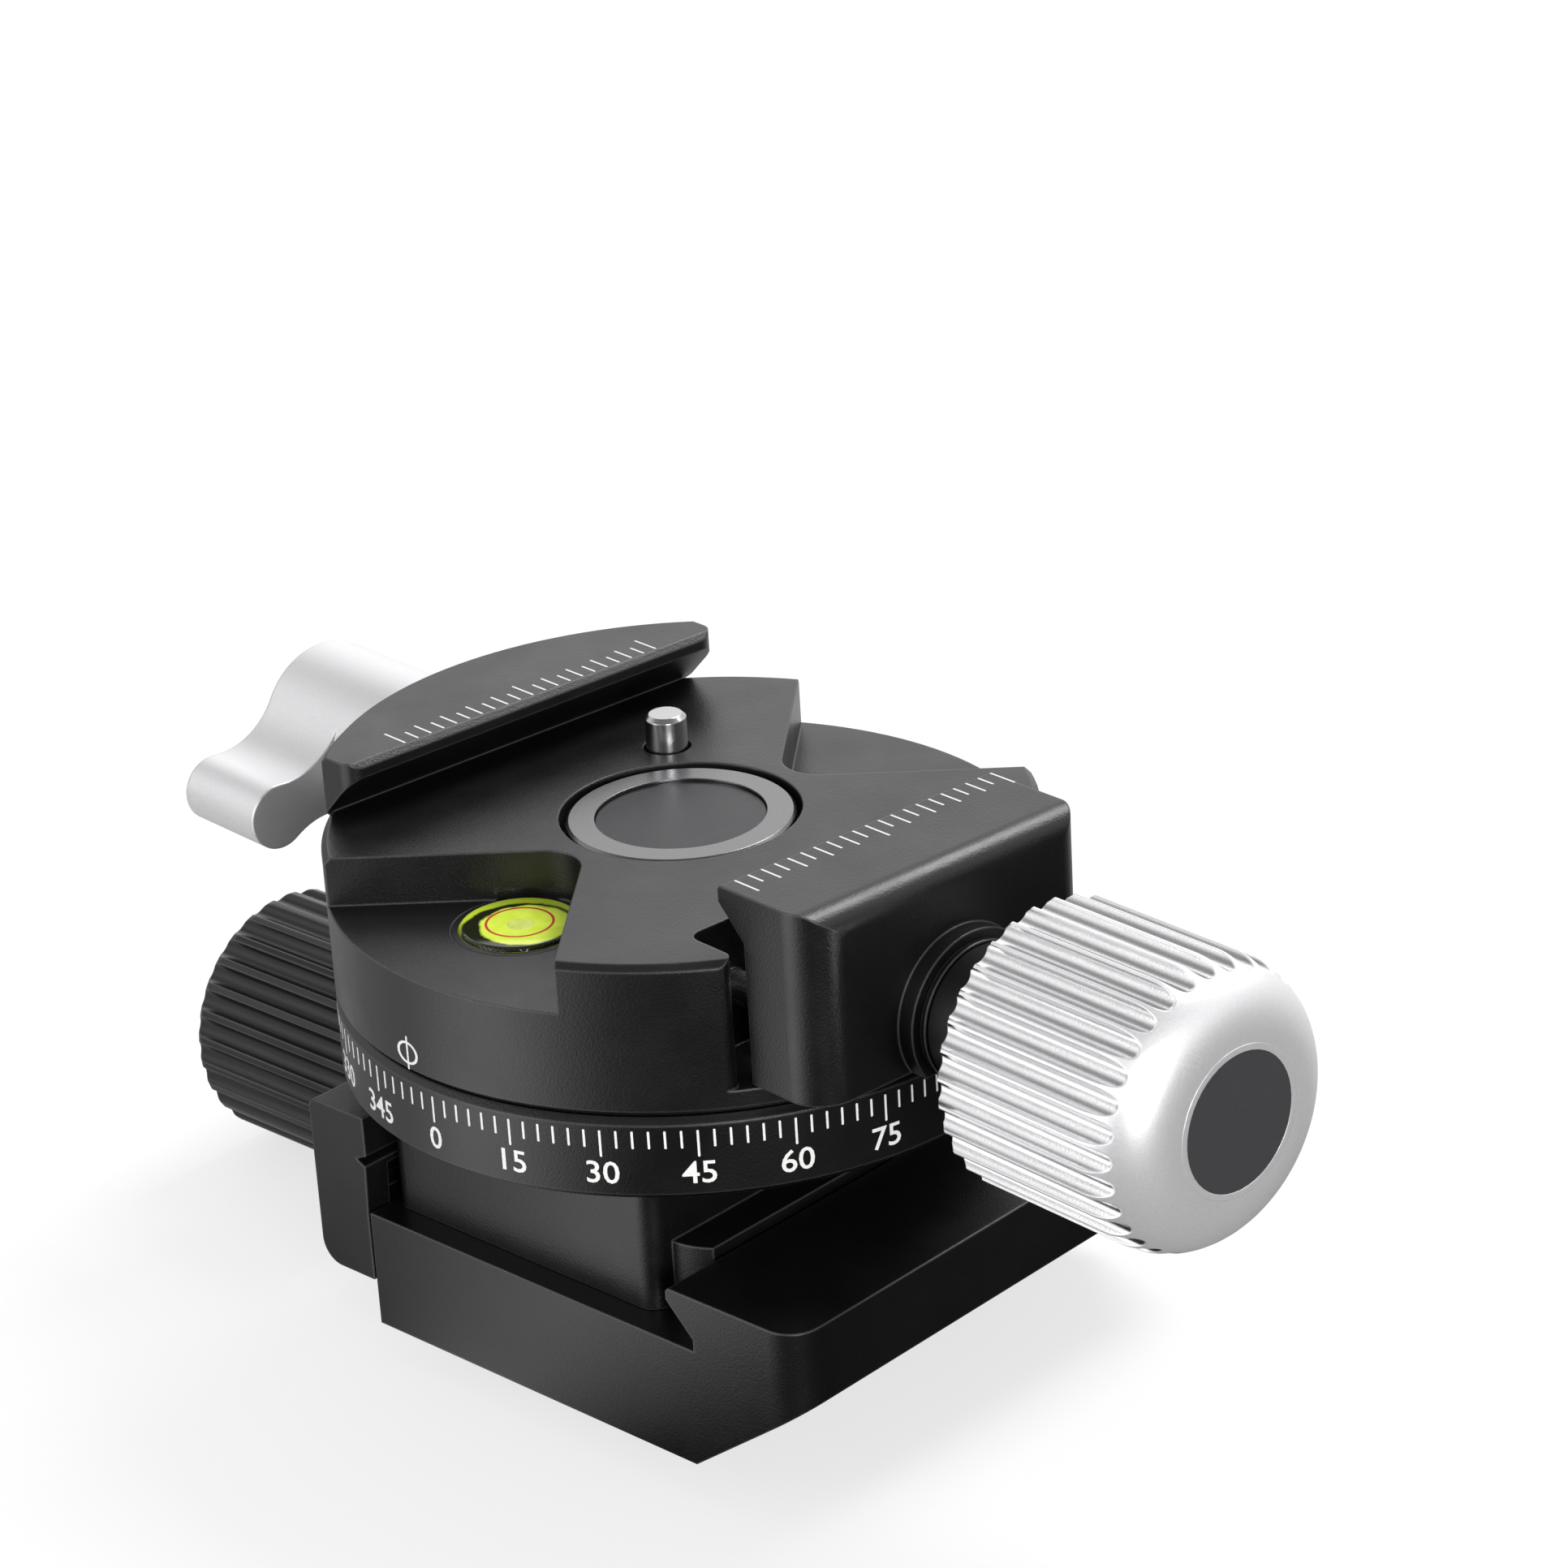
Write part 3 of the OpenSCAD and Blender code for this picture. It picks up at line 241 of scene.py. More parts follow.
def rounded_edges(tree, radius):
    """The softened normal of machined edges, and how far it leans from the face: an edge's mask."""
    soft = add(tree, "ShaderNodeBevel", {"Radius": radius}, samples=6).outputs["Normal"]
    face = add(tree, "ShaderNodeNewGeometry").outputs["Normal"]
    lean = add(tree, "ShaderNodeVectorMath", {0: soft, 1: face}, operation="DOT_PRODUCT").outputs["Value"]
    mask = add(tree, "ShaderNodeMapRange",
               {"Value": lean, "From Min": 0.995, "From Max": 0.88,
                "To Min": 0.0, "To Max": 1.0}).outputs["Result"]
    return soft, mask


def from_axis(tree, where, centre):
    """How far a place lies from the upright axis through a centre."""
    local = add(tree, "ShaderNodeVectorMath", {0: where, 1: centre}, operation="SUBTRACT").outputs["Vector"]
    split = add(tree, "ShaderNodeSeparateXYZ", {0: local})
    flat = add(tree, "ShaderNodeCombineXYZ", {"X": split.outputs["X"], "Y": split.outputs["Y"]})
    return add(tree, "ShaderNodeVectorMath", {0: flat.outputs["Vector"]}, operation="LENGTH").outputs["Value"]


def black_anodised(name, dark, pale, wear_and_highlight_colour, roughness, grain, strength):
    """Bead-blasted aluminium, anodised black: satin, with an even fine grain. Along the edges a thin
    pale line is painted: a painted highlight, and the wear of the skin."""
    made, tree, shader, where = blank_finish(name)
    speck = add(tree, "ShaderNodeTexNoise",
                {"Vector": where, "Scale": 1 / grain, "Detail": 2.0, "Roughness": 0.6}).outputs["Fac"]
    cloud = add(tree, "ShaderNodeTexNoise",
                {"Vector": where, "Scale": 1 / CLOUD, "Detail": 4.0, "Roughness": 0.6}).outputs["Fac"]
    soft, edge = rounded_edges(tree, 0.28 * MM)
    skin = add(tree, "ShaderNodeMix", {0: cloud, 6: linear(dark), 7: linear(pale)},
               data_type="RGBA").outputs[2]
    patchy = add(tree, "ShaderNodeMapRange",
                 {"Value": cloud, "To Min": 0.35, "To Max": 1.0}).outputs["Result"]
    # Pale line on the edges, patchy with the cloud: painted highlight, and wear of the skin
    wear_and_highlight = add(tree, "ShaderNodeMath", {0: edge, 1: patchy}, operation="MULTIPLY").outputs["Value"]
    colour = add(tree, "ShaderNodeMix", {0: wear_and_highlight, 6: skin, 7: linear(wear_and_highlight_colour)},
                 data_type="RGBA").outputs[2]
    rough = add(tree, "ShaderNodeMapRange",
                {"Value": cloud, "From Min": NOISE_LOW, "From Max": NOISE_HIGH,
                 "To Min": roughness - 0.04, "To Max": roughness + 0.05}).outputs["Result"]
    bump = add(tree, "ShaderNodeBump",
               {"Height": speck, "Strength": strength, "Distance": 0.03 * MM,
                "Normal": soft}).outputs["Normal"]
    join_up(tree, shader, colour, rough, bump)
    shader.inputs["IOR"].default_value = 1.5
    return made


def fluted_silver(name, axis_level, head_from, nose_from, nose_radius, outer):
    """Turned aluminium, clear anodised: the flutes are cut bright and the nose is left satin,
    with the fine sparkle of the turned skin. The neck behind the head is black."""
    made, tree, shader, where = blank_finish(name)
    split = add(tree, "ShaderNodeSeparateXYZ", {0: where})
    up = add(tree, "ShaderNodeMath", {0: split.outputs["Z"], 1: axis_level},
             operation="SUBTRACT").outputs["Value"]
    flat = add(tree, "ShaderNodeCombineXYZ", {"X": split.outputs["Y"], "Y": up})
    radius = add(tree, "ShaderNodeVectorMath", {0: flat.outputs["Vector"]},
                 operation="LENGTH").outputs["Value"]
    # How deep a place lies under the uncut skin, which is round at the nose
    along = add(tree, "ShaderNodeMath", {0: split.outputs["X"], 1: nose_from},
                operation="SUBTRACT").outputs["Value"]
    over = add(tree, "ShaderNodeMath", {0: along, 1: 0.0}, operation="MAXIMUM").outputs["Value"]
    square = add(tree, "ShaderNodeMath", {0: over, 1: 2.0}, operation="POWER").outputs["Value"]
    rest = add(tree, "ShaderNodeMath", {0: nose_radius ** 2, 1: square},
               operation="SUBTRACT").outputs["Value"]
    rise = add(tree, "ShaderNodeMath", {0: rest}, operation="SQRT").outputs["Value"]
    skin = add(tree, "ShaderNodeMath", {0: rise, 1: outer - nose_radius},
               operation="ADD").outputs["Value"]
    depth = add(tree, "ShaderNodeMath", {0: skin, 1: radius}, operation="SUBTRACT").outputs["Value"]
    below = add(tree, "ShaderNodeMapRange",
                {"Value": depth, "From Min": 0.03 * MM, "From Max": 0.12 * MM,
                 "To Min": 0.0, "To Max": 1.0}).outputs["Result"]
    # The flat of the nose is not cut
    reach = add(tree, "ShaderNodeMath", {0: radius, 1: outer - 0.7 * nose_radius},
                operation="GREATER_THAN").outputs["Value"]
    cut = add(tree, "ShaderNodeMath", {0: below, 1: reach}, operation="MULTIPLY").outputs["Value"]
    speck = add(tree, "ShaderNodeTexNoise",
                {"Vector": where, "Scale": 1 / TURNED, "Detail": 2.0}).outputs["Fac"]
    drawn = add(tree, "ShaderNodeMapping", {"Vector": where, "Scale": (0.06, 1.0, 1.0)}).outputs["Vector"]
    streak = add(tree, "ShaderNodeTexNoise",
                 {"Vector": drawn, "Scale": 1 / (0.14 * MM), "Detail": 2.0}).outputs["Fac"]
    satin = add(tree, "ShaderNodeMapRange",
                {"Value": cut, "To Min": 0.42, "To Max": 0.18}).outputs["Result"]
    uneven = add(tree, "ShaderNodeMapRange",
                 {"Value": streak, "From Min": NOISE_LOW, "From Max": NOISE_HIGH,
                  "To Min": -0.03, "To Max": 0.05}).outputs["Result"]
    rough = add(tree, "ShaderNodeMath", {0: satin, 1: uneven}, operation="ADD").outputs["Value"]
    bright = add(tree, "ShaderNodeMix", {0: speck, 6: linear("#dcdcde"), 7: linear("#f0f0f1")},
                 data_type="RGBA").outputs[2]
    head = add(tree, "ShaderNodeMath", {0: split.outputs["X"], 1: head_from},
               operation="GREATER_THAN").outputs["Value"]
    colour = add(tree, "ShaderNodeMix", {0: head, 6: linear("#0b0b0c"), 7: bright},
                 data_type="RGBA").outputs[2]
    soft, _ = rounded_edges(tree, 0.12 * MM)
    bump = add(tree, "ShaderNodeBump",
               {"Height": speck, "Strength": 0.28, "Distance": 0.02 * MM,
                "Normal": soft}).outputs["Normal"]
    join_up(tree, shader, colour, rough, bump)
    bare = add(tree, "ShaderNodeMapRange", {"Value": cut, "To Min": 0.7, "To Max": 1.0}).outputs["Result"]
    shine = add(tree, "ShaderNodeMath", {0: head, 1: bare}, operation="MULTIPLY").outputs["Value"]
    tree.links.new(shine, shader.inputs["Metallic"])
    return made


def metal(name, dark, pale, roughness, grain, stretch=(1.0, 1.0, 1.0), strength=0.12, edge=0.15 * MM,
          bare=1.0):
    """Bare or clear-anodised metal: its grain runs the way it was blasted, drawn or brushed, and
    shifts both the colour and the gloss a little. An anodised skin scatters a share of the light."""
    made, tree, shader, where = blank_finish(name)
    drawn = add(tree, "ShaderNodeMapping", {"Vector": where, "Scale": stretch}).outputs["Vector"]
    line = add(tree, "ShaderNodeTexNoise",
               {"Vector": drawn, "Scale": 1 / grain, "Detail": 3.0, "Roughness": 0.6}).outputs["Fac"]
    soft, _ = rounded_edges(tree, edge)
    colour = add(tree, "ShaderNodeMix", {0: line, 6: linear(dark), 7: linear(pale)},
                 data_type="RGBA").outputs[2]
    rough = add(tree, "ShaderNodeMapRange",
                {"Value": line, "From Min": NOISE_LOW, "From Max": NOISE_HIGH,
                 "To Min": roughness - 0.05, "To Max": roughness + 0.06}).outputs["Result"]
    bump = add(tree, "ShaderNodeBump",
               {"Height": line, "Strength": strength, "Distance": 0.02 * MM,
                "Normal": soft}).outputs["Normal"]
    join_up(tree, shader, colour, rough, bump)
    shader.inputs["Metallic"].default_value = bare
    return made


def lathe_brushed(name, dark, pale, roughness, spacing, centre):
    """Stainless steel faced on a lathe: fine rings about its own axis, which draw the light into
    a bow-tie across the face."""
    made, tree, shader, where = blank_finish(name)
    ring = add(tree, "ShaderNodeCombineXYZ", {"X": from_axis(tree, where, centre)}).outputs["Vector"]
    line = add(tree, "ShaderNodeTexNoise",
               {"Vector": ring, "Scale": 1 / spacing, "Detail": 3.0}).outputs["Fac"]
    soft, _ = rounded_edges(tree, 0.12 * MM)
    colour = add(tree, "ShaderNodeMix", {0: line, 6: linear(dark), 7: linear(pale)},
                 data_type="RGBA").outputs[2]
    rough = add(tree, "ShaderNodeMapRange",
                {"Value": line, "From Min": NOISE_LOW, "From Max": NOISE_HIGH,
                 "To Min": roughness - 0.05, "To Max": roughness + 0.05}).outputs["Result"]
    bump = add(tree, "ShaderNodeBump",
               {"Height": line, "Strength": 0.3, "Distance": 0.01 * MM, "Normal": soft}).outputs["Normal"]
    join_up(tree, shader, colour, rough, bump)
    shader.inputs["Metallic"].default_value = 1.0
    return made


def matt_coat(name, dark, pale, roughness, grain):
    """Paint or moulded plastic: a dull skin with a fine, even unevenness."""
    made, tree, shader, where = blank_finish(name)
    speck = add(tree, "ShaderNodeTexNoise",
                {"Vector": where, "Scale": 1 / grain, "Detail": 3.0}).outputs["Fac"]
    colour = add(tree, "ShaderNodeMix", {0: speck, 6: linear(dark), 7: linear(pale)},
                 data_type="RGBA").outputs[2]
    rough = add(tree, "ShaderNodeMapRange",
                {"Value": speck, "From Min": NOISE_LOW, "From Max": NOISE_HIGH,
                 "To Min": roughness - 0.05, "To Max": roughness + 0.05}).outputs["Result"]
    bump = add(tree, "ShaderNodeBump",
               {"Height": speck, "Strength": 0.15, "Distance": 0.02 * MM}).outputs["Normal"]
    join_up(tree, shader, colour, rough, bump)
    return made


def lined_cup(name, dark, pale, rim, centre, inside):
    """The level's cup: a bright lime lining under the window, and a black rim and outer wall."""
    made, tree, shader, where = blank_finish(name)
    outer = add(tree, "ShaderNodeMath", {0: from_axis(tree, where, centre), 1: inside},
                operation="GREATER_THAN").outputs["Value"]
    speck = add(tree, "ShaderNodeTexNoise",
                {"Vector": where, "Scale": 1 / (0.5 * MM), "Detail": 3.0}).outputs["Fac"]
    lining = add(tree, "ShaderNodeMix", {0: speck, 6: linear(dark), 7: linear(pale)},
                 data_type="RGBA").outputs[2]
    colour = add(tree, "ShaderNodeMix", {0: outer, 6: lining, 7: linear(rim)},
                 data_type="RGBA").outputs[2]
    rough = add(tree, "ShaderNodeMapRange",
                {"Value": speck, "From Min": NOISE_LOW, "From Max": NOISE_HIGH,
                 "To Min": 0.35, "To Max": 0.45}).outputs["Result"]
    join_up(tree, shader, colour, rough)
    return made


def level_acrylic(name, lime, deep, dark, centre, right, away):
    """Clear cast acrylic over lime liquid, with its refraction painted: the bright pool painted nearer one
    side, a painted glowing crescent on the far wall, and painted shade of the dark cup in the rest of the
    thick wall."""
    made, tree, shader, where = blank_finish(name)
    local = add(tree, "ShaderNodeVectorMath", {0: where, 1: centre}, operation="SUBTRACT").outputs["Vector"]
    across = add(tree, "ShaderNodeVectorMath", {0: local, 1: right},
                 operation="DOT_PRODUCT").outputs["Value"]
    beyond = add(tree, "ShaderNodeVectorMath", {0: local, 1: away},
                 operation="DOT_PRODUCT").outputs["Value"]
    flat = add(tree, "ShaderNodeCombineXYZ", {"X": across, "Y": beyond}).outputs["Vector"]
    cloud = add(tree, "ShaderNodeTexNoise",
                {"Vector": where, "Scale": 1 / (1.2 * MM), "Detail": 3.0}).outputs["Fac"]
    ripple = add(tree, "ShaderNodeMapRange",
                 {"Value": cloud, "To Min": -0.25 * MM, "To Max": 0.25 * MM}).outputs["Result"]

    def outside(place, inner, outer):
        """A mask that rises from an inner to an outer radius round a place, with a rippled shore."""
        span = add(tree, "ShaderNodeVectorMath", {0: flat, 1: place}, operation="DISTANCE").outputs["Value"]
        uneven = add(tree, "ShaderNodeMath", {0: span, 1: ripple}, operation="ADD").outputs["Value"]
        return add(tree, "ShaderNodeMapRange",
                   {"Value": uneven, "From Min": inner, "From Max": outer}).outputs["Result"]

    # Painted refraction: the pool's shore, and the painted shade of the cup that rises to a painted glow at
    # the far wall
    shore = outside((0.45 * MM, -0.55 * MM, 0.0), 3.4 * MM, 3.65 * MM)
    wall = outside((0.0, -1.1 * MM, 0.0), 4.4 * MM, 4.7 * MM)
    pool = add(tree, "ShaderNodeMix", {0: cloud, 6: linear(lime), 7: linear(deep)},
               data_type="RGBA").outputs[2]
    cup = add(tree, "ShaderNodeMix", {0: wall, 6: linear(dark), 7: linear(deep)},
              data_type="RGBA").outputs[2]
    colour = add(tree, "ShaderNodeMix", {0: shore, 6: pool, 7: cup}, data_type="RGBA").outputs[2]
    rough = add(tree, "ShaderNodeMapRange",
                {"Value": cloud, "To Min": 0.05, "To Max": 0.1}).outputs["Result"]
    join_up(tree, shader, colour, rough)
    shader.inputs["IOR"].default_value = 1.49
    return made


def dress(finish, *names):
    """Gives CAD nodes their finish."""
    for name in names:
        nodes[name].data.materials.clear()
        nodes[name].data.materials.append(finish)


# Places that the finishes are fitted to
knob_low, knob_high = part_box("clamp_knob")
knob_radius = (knob_high.y - knob_low.y) / 2
knob_level = (knob_high.z + knob_low.z) / 2
pin_low, pin_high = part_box("safety_pin")
pin_centre = ((pin_low.x + pin_high.x) / 2, (pin_low.y + pin_high.y) / 2, 0.0)
vial_low, vial_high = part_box("level_vial")
vial_middle = (vial_low + vial_high) / 2
vial_radius = (vial_high.x - vial_low.x) / 2

# Aluminium: satin black with a fine grain, glossier black ribs, bright flutes and a satin lever
# The third colour of each black is the pale line on its edges: painted highlight, and wear
black_body = black_anodised("Black_anodised_blasted", "#070708", "#0c0c0d", "#4e4e50",
                            0.36, BLASTED, 0.8)
black_ribs = black_anodised("Black_anodised_turned", "#050506", "#0a0a0b", "#5c5c5e",
                            0.24, TURNED, 0.12)
silver_knob = fluted_silver("Silver_anodised_fluted", knob_level, knob_high.x - KNOB_HEAD,
                            knob_high.x - KNOB_NOSE, KNOB_NOSE, knob_radius)
silver_lever = metal("Silver_anodised_blasted", "#d4d4d6", "#e8e8e9", 0.42, BLASTED,
                     strength=0.3, edge=0.3 * MM, bare=0.84)

# Steel and bronze: drawn, turned or brushed, each with the grain of its making
steel = metal("Stainless_drawn", "#a8a8aa", "#d2d2d4", 0.28, DRAWN, stretch=(0.1, 1.0, 1.0))
pin_steel = lathe_brushed("Stainless_turned", "#a4a4a6", "#cacacb", 0.22, FACED, pin_centre)
# The crown's stainless is a darker copy of the pin's: painted shade
crown_steel = lathe_brushed("Stainless_faced_painted_shade", "#6e6e70", "#848485", 0.26, DRAWN, (0.0, 0.0, 0.0))
dark_disc = metal("Dark_steel_brushed", "#343436", "#454548", 0.34, TURNED, stretch=(1.0, 0.04, 1.0))
bronze = metal("Bronze_turned", "#a57f3c", "#c89f57", 0.35, 0.15 * MM)

# Paint, plastic and the level: dull skins, and a glossy lime window
dark_inlay = matt_coat("Dark_grey_enamel", "#2c2c2e", "#39393b", 0.5, 0.14 * MM)
washer_plastic = matt_coat("Acetal_natural", "#d8d8d0", "#e9e9e2", 0.45, 0.3 * MM)
white_paint = matt_coat("White_filled_engraving", "#cdcdcb", "#e0e0de", 0.6, 0.12 * MM)
red_paint = matt_coat("Red_printed_ring", "#a3281e", "#bd3326", 0.5, 0.12 * MM)
bubble_air = matt_coat("Air_in_lime_liquid", "#aebd3c", "#dfe98a", 0.12, 0.9 * MM)
cup_paint = lined_cup("Lime_lined_black_cup", "#d6ea52", "#e2f26a", "#0b0b0c", vial_middle,
                      vial_radius + CUP_CLEAR)
# The window's colours are painted refraction: a lime pool, painted shade of the cup and a painted glowing
# crescent
window = level_acrylic("Clear_acrylic_over_lime_painted_refraction", "#e2f45c", "#b9d034", "#161c07", vial_middle,
                       LEVEL_ACROSS, LEVEL_BEYOND)

dress(black_body, "base_block", "base_jaw", "foot_block", "degree_ring", "top_body", "clamp_jaw")
dress(black_ribs, "base_knob", "base_knob_cap", "knob_washer")
dress(silver_knob, "clamp_knob")
dress(silver_lever, "pan_lever")
dress(dark_inlay, "knob_inlay", "lever_cap")
dress(steel, "base_stud", "base_springs", "base_jaw_pins", "base_knob_washer", "foot_screw", "ring_screws",
      "spindle", "spindle_screw", "clamp_stud", "jaw_springs", "pin_spring", "pin_plug", "jaw_pins",
      "lock_screw")
dress(pin_steel, "safety_pin")
dress(crown_steel, "spindle_crown")
dress(dark_disc, "spindle_cap")
dress(cup_paint, "level_cup")
dress(washer_plastic, "thrust_washer")
dress(bronze, "brake_shoe")


def start_edit():
    """Puts the last made object in edit mode, with all of it selected."""
    bpy.ops.object.mode_set(mode="EDIT")
    bpy.ops.mesh.select_all(action="SELECT")


def end_edit(name, finish):
    """Closes a piece: outward faces, its name and its finish."""
    bpy.ops.mesh.select_all(action="SELECT")
    bpy.ops.mesh.normals_make_consistent(inside=False)
    bpy.ops.object.mode_set(mode="OBJECT")
    made = bpy.context.object
    bpy.ops.object.transform_apply(location=True, rotation=True, scale=True)
    made.name = name
    made.data.materials.clear()
    made.data.materials.append(finish)
    return made


def painted_line(length, width):
    """One filled line along +X from the origin, with rounded corners, lying on the XY plane."""
    bpy.ops.object.select_all(action="DESELECT")
    bpy.ops.mesh.primitive_plane_add(size=1.0)
    start_edit()
    bpy.ops.transform.resize(value=(length, width, 1.0))
    bpy.ops.transform.translate(value=(length / 2, 0.0, -PAINT_SINK))
    bpy.ops.mesh.bevel(affect="VERTICES", offset=width * TICK_ROUND, segments=2)
    bpy.ops.mesh.extrude_region_move(TRANSFORM_OT_translate={"value": (0.0, 0.0, PAINT)})
    return end_edit("painted_line", white_paint)


def painted_ring(name, inner, outer, finish):
    """A flat ring on the XY plane, as thick as paint."""
    bpy.ops.object.select_all(action="DESELECT")
    bpy.ops.mesh.primitive_circle_add(vertices=RING_SIDES, radius=outer, fill_type="NGON")
    start_edit()
    bpy.ops.mesh.inset(thickness=outer - inner)
    bpy.ops.mesh.delete(type="FACE")
    bpy.ops.mesh.select_all(action="SELECT")
    bpy.ops.transform.translate(value=(0.0, 0.0, -PAINT_SINK))
    bpy.ops.mesh.extrude_region_move(TRANSFORM_OT_translate={"value": (0.0, 0.0, PAINT)})
    return end_edit(name, finish)


def stamped(name, jobs, body):
    """Copies each pattern to its places, joins the copies into one piece that rides on a body,
    and deletes the patterns."""
    copies = []
    for pattern, places in jobs:
        for place in places:
            copy = pattern.copy()
            copy.data = pattern.data.copy()
            copy.data.transform(place)
            bpy.context.scene.collection.objects.link(copy)
            copies.append(copy)
    bpy.ops.object.select_all(action="DESELECT")
    for copy in copies:
        copy.select_set(True)
    bpy.context.view_layer.objects.active = copies[0]
    bpy.ops.object.join()
    made = bpy.context.object
    made.name = name
    for pattern, _ in jobs:
        bpy.data.objects.remove(pattern)
    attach(made, body)
    return made


def on_ring(angle, radius, level):
    """Turns a flat pattern upright and sets it on a round side: its +X points down, its face out."""
    upright = Matrix((Vector((0.0, 0.0, -1.0)), Vector((0.0, 1.0, 0.0)), Vector((1.0, 0.0, 0.0)))).transposed()
    return Matrix.Rotation(angle, 4, "Z") @ Matrix.Translation((radius, 0.0, level)) @ upright.to_4x4()


# Degree marks on the ring
ring_low, ring_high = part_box("degree_ring")
ring_radius = (ring_high.x - ring_low.x) / 2
zero = -math.pi / 2 + BASE_TURN - MARKS_BACK


def ring_places(numbered):
    """Where the marks with a number stand, or those without."""
    turns = [i * TICK_STEP for i in range(int(360 / TICK_STEP))]
    return [on_ring(zero + math.radians(a), ring_radius, TICK_TOP) for a in turns
            if (a % NUMBER_STEP == 0) == numbered]


short_tick = painted_line(TICK_SHORT, TICK_WIDTH)
long_tick = painted_line(TICK_LONG, TICK_WIDTH)
ring_marks = stamped("ring_marks", [(long_tick, ring_places(True)), (short_tick, ring_places(False))], "foot")


def ring_number(value):
    """One number, made a solid, scaled to its height and wrapped round the ring under its mark."""
    bpy.ops.object.select_all(action="DESELECT")
    bpy.ops.object.text_add()
    text = bpy.context.object.data
    text.body = str(value)
    text.align_x = "CENTER"
    text.size = 1.0
    text.resolution_u = DIGIT_CURVE
    text.extrude = DIGIT_DEPTH
    text.offset = DIGIT_SWELL
    bpy.ops.object.convert(target="MESH")
    made = bpy.context.object
    heights = [v.co.y for v in made.data.vertices]
    middle = (min(heights) + max(heights)) / 2
    scale = NUMBER_HEIGHT / DIGIT_HEIGHT
    for v in made.data.vertices:
        angle = zero + math.radians(value) + v.co.x * scale * NUMBER_WIDEN / ring_radius
        out = ring_radius - PAINT_SINK + (PAINT if v.co.z > 0 else 0.0)
        level = NUMBER_LEVEL + (v.co.y - middle) * scale
        v.co = (out * math.cos(angle), out * math.sin(angle), level)
    made.data.materials.append(white_paint)
    return made


numbers = [(ring_number(value), [Matrix.Identity(4)]) for value in range(0, 360, NUMBER_STEP)]
ring_numbers = stamped("ring_numbers", numbers, "foot")

# Index mark on the turning body
index_line = painted_line(INDEX_LINE, TICK_WIDTH)
index_ring = painted_ring("index_ring", INDEX_INNER, INDEX_OUTER, white_paint)
index_ring.data.transform(Matrix.Diagonal((1.0, INDEX_STRETCH, 1.0, 1.0)))
body_low, body_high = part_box("top_body")
body_radius = (body_high.y - body_low.y) / 2
index_mark = stamped("index_mark", [
    (index_line, [on_ring(-math.pi / 2, body_radius, INDEX_LEVEL + INDEX_LINE / 2)]),
    (index_ring, [on_ring(-math.pi / 2, body_radius - INDEX_SINK, INDEX_LEVEL)])], "top")


def rule(name, start, outward, top, body):
    """A row of lines across the top of a jaw, long at both ends and in the middle."""
    long_line = painted_line(RULE_LONG, TICK_WIDTH)
    middle_line = painted_line(RULE_MIDDLE, TICK_WIDTH)
    short_line = painted_line(RULE_SHORT, TICK_WIDTH)
    turn = Matrix.Rotation(0.0 if outward > 0 else math.pi, 4, "Z")
    rows = {long_line: [], short_line: [], middle_line: []}
    for i in range(-RULE_SIDE, RULE_SIDE + 1):
        pattern = middle_line if i % 2 == 0 else short_line
        if abs(i) in (0, RULE_SIDE):
            pattern = long_line
        rows[pattern].append(Matrix.Translation((start, i * RULE_STEP, top)) @ turn)
    made = stamped(name, list(rows.items()), body)


jaw_low, jaw_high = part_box("clamp_jaw")
rule("rear_rule", REAR_RULE_X, -1, body_high.z, "top")
rule("front_rule", jaw_low.x + FRONT_RULE_INSET, 1, jaw_high.z, "clamp_jaw")


def thread(name, radius, height, pitch, turns, place, finish, body):
    """A screw thread: a three-cornered ridge carried round and along its axis, closed at both ends."""
    bpy.ops.object.select_all(action="DESELECT")
    bpy.ops.mesh.primitive_circle_add(vertices=3, radius=1.0)
    made = bpy.context.object
    foot = pitch * RIDGE_FOOT
    for v, (out, along) in zip(made.data.vertices, ((radius + height, 0.0), (radius, foot), (radius, -foot))):
        v.co = (out, 0.0, along)
    screw = made.modifiers.new("screw", "SCREW")
    screw.axis = "Z"
    screw.screw_offset = pitch
    screw.iterations = turns
    screw.steps = THREAD_STEPS
    screw.render_steps = THREAD_STEPS
    bpy.ops.object.modifier_apply(modifier="screw")
    start_edit()
    bpy.ops.mesh.remove_doubles(threshold=WELD)
    bpy.ops.mesh.fill_holes(sides=4)
    made = end_edit(name, finish)
    made.data.transform(place)
    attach(made, body)


# Threads that can be seen: the clamp stud in its slot and the tripod hole
stud_low, stud_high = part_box("clamp_stud")
stud_radius = (stud_high.y - stud_low.y) / 2
stud_level = (stud_high.z + stud_low.z) / 2
along_x = Matrix.Rotation(math.pi / 2, 4, "Y")
thread("stud_thread", stud_radius - STUD_SINK, STUD_RIDGE, STUD_PITCH, STUD_TURNS,
       Matrix.Translation((STUD_FROM, 0.0, stud_level)) @ along_x, steel, "top")
thread("hole_thread", HOLE_RADIUS, -HOLE_RIDGE, HOLE_PITCH, HOLE_TURNS,
       Matrix.Translation((0.0, 0.0, HOLE_FROM)), black_body, "base")

# Level: window, printed ring and air bubble
window_top = vial_high.z + WINDOW_PROUD
bpy.ops.object.select_all(action="DESELECT")
bpy.ops.mesh.primitive_cylinder_add(vertices=WINDOW_SIDES, radius=vial_radius, depth=window_top - vial_low.z,
                                    location=vial_middle + Vector((0.0, 0.0, WINDOW_PROUD / 2)))
bpy.ops.object.transform_apply(location=True, rotation=False, scale=False)
start_edit()
bpy.ops.mesh.bevel(affect="EDGES", offset=WINDOW_BEVEL, segments=3)
level_window = end_edit("level_window", window)
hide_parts("level_vial")
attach(level_window, "top")

level_ring = painted_ring("level_ring", LEVEL_RING_INNER, LEVEL_RING_OUTER, red_paint)
level_ring.data.transform(Matrix.Translation((vial_middle.x, vial_middle.y, window_top)))
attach(level_ring, "top")

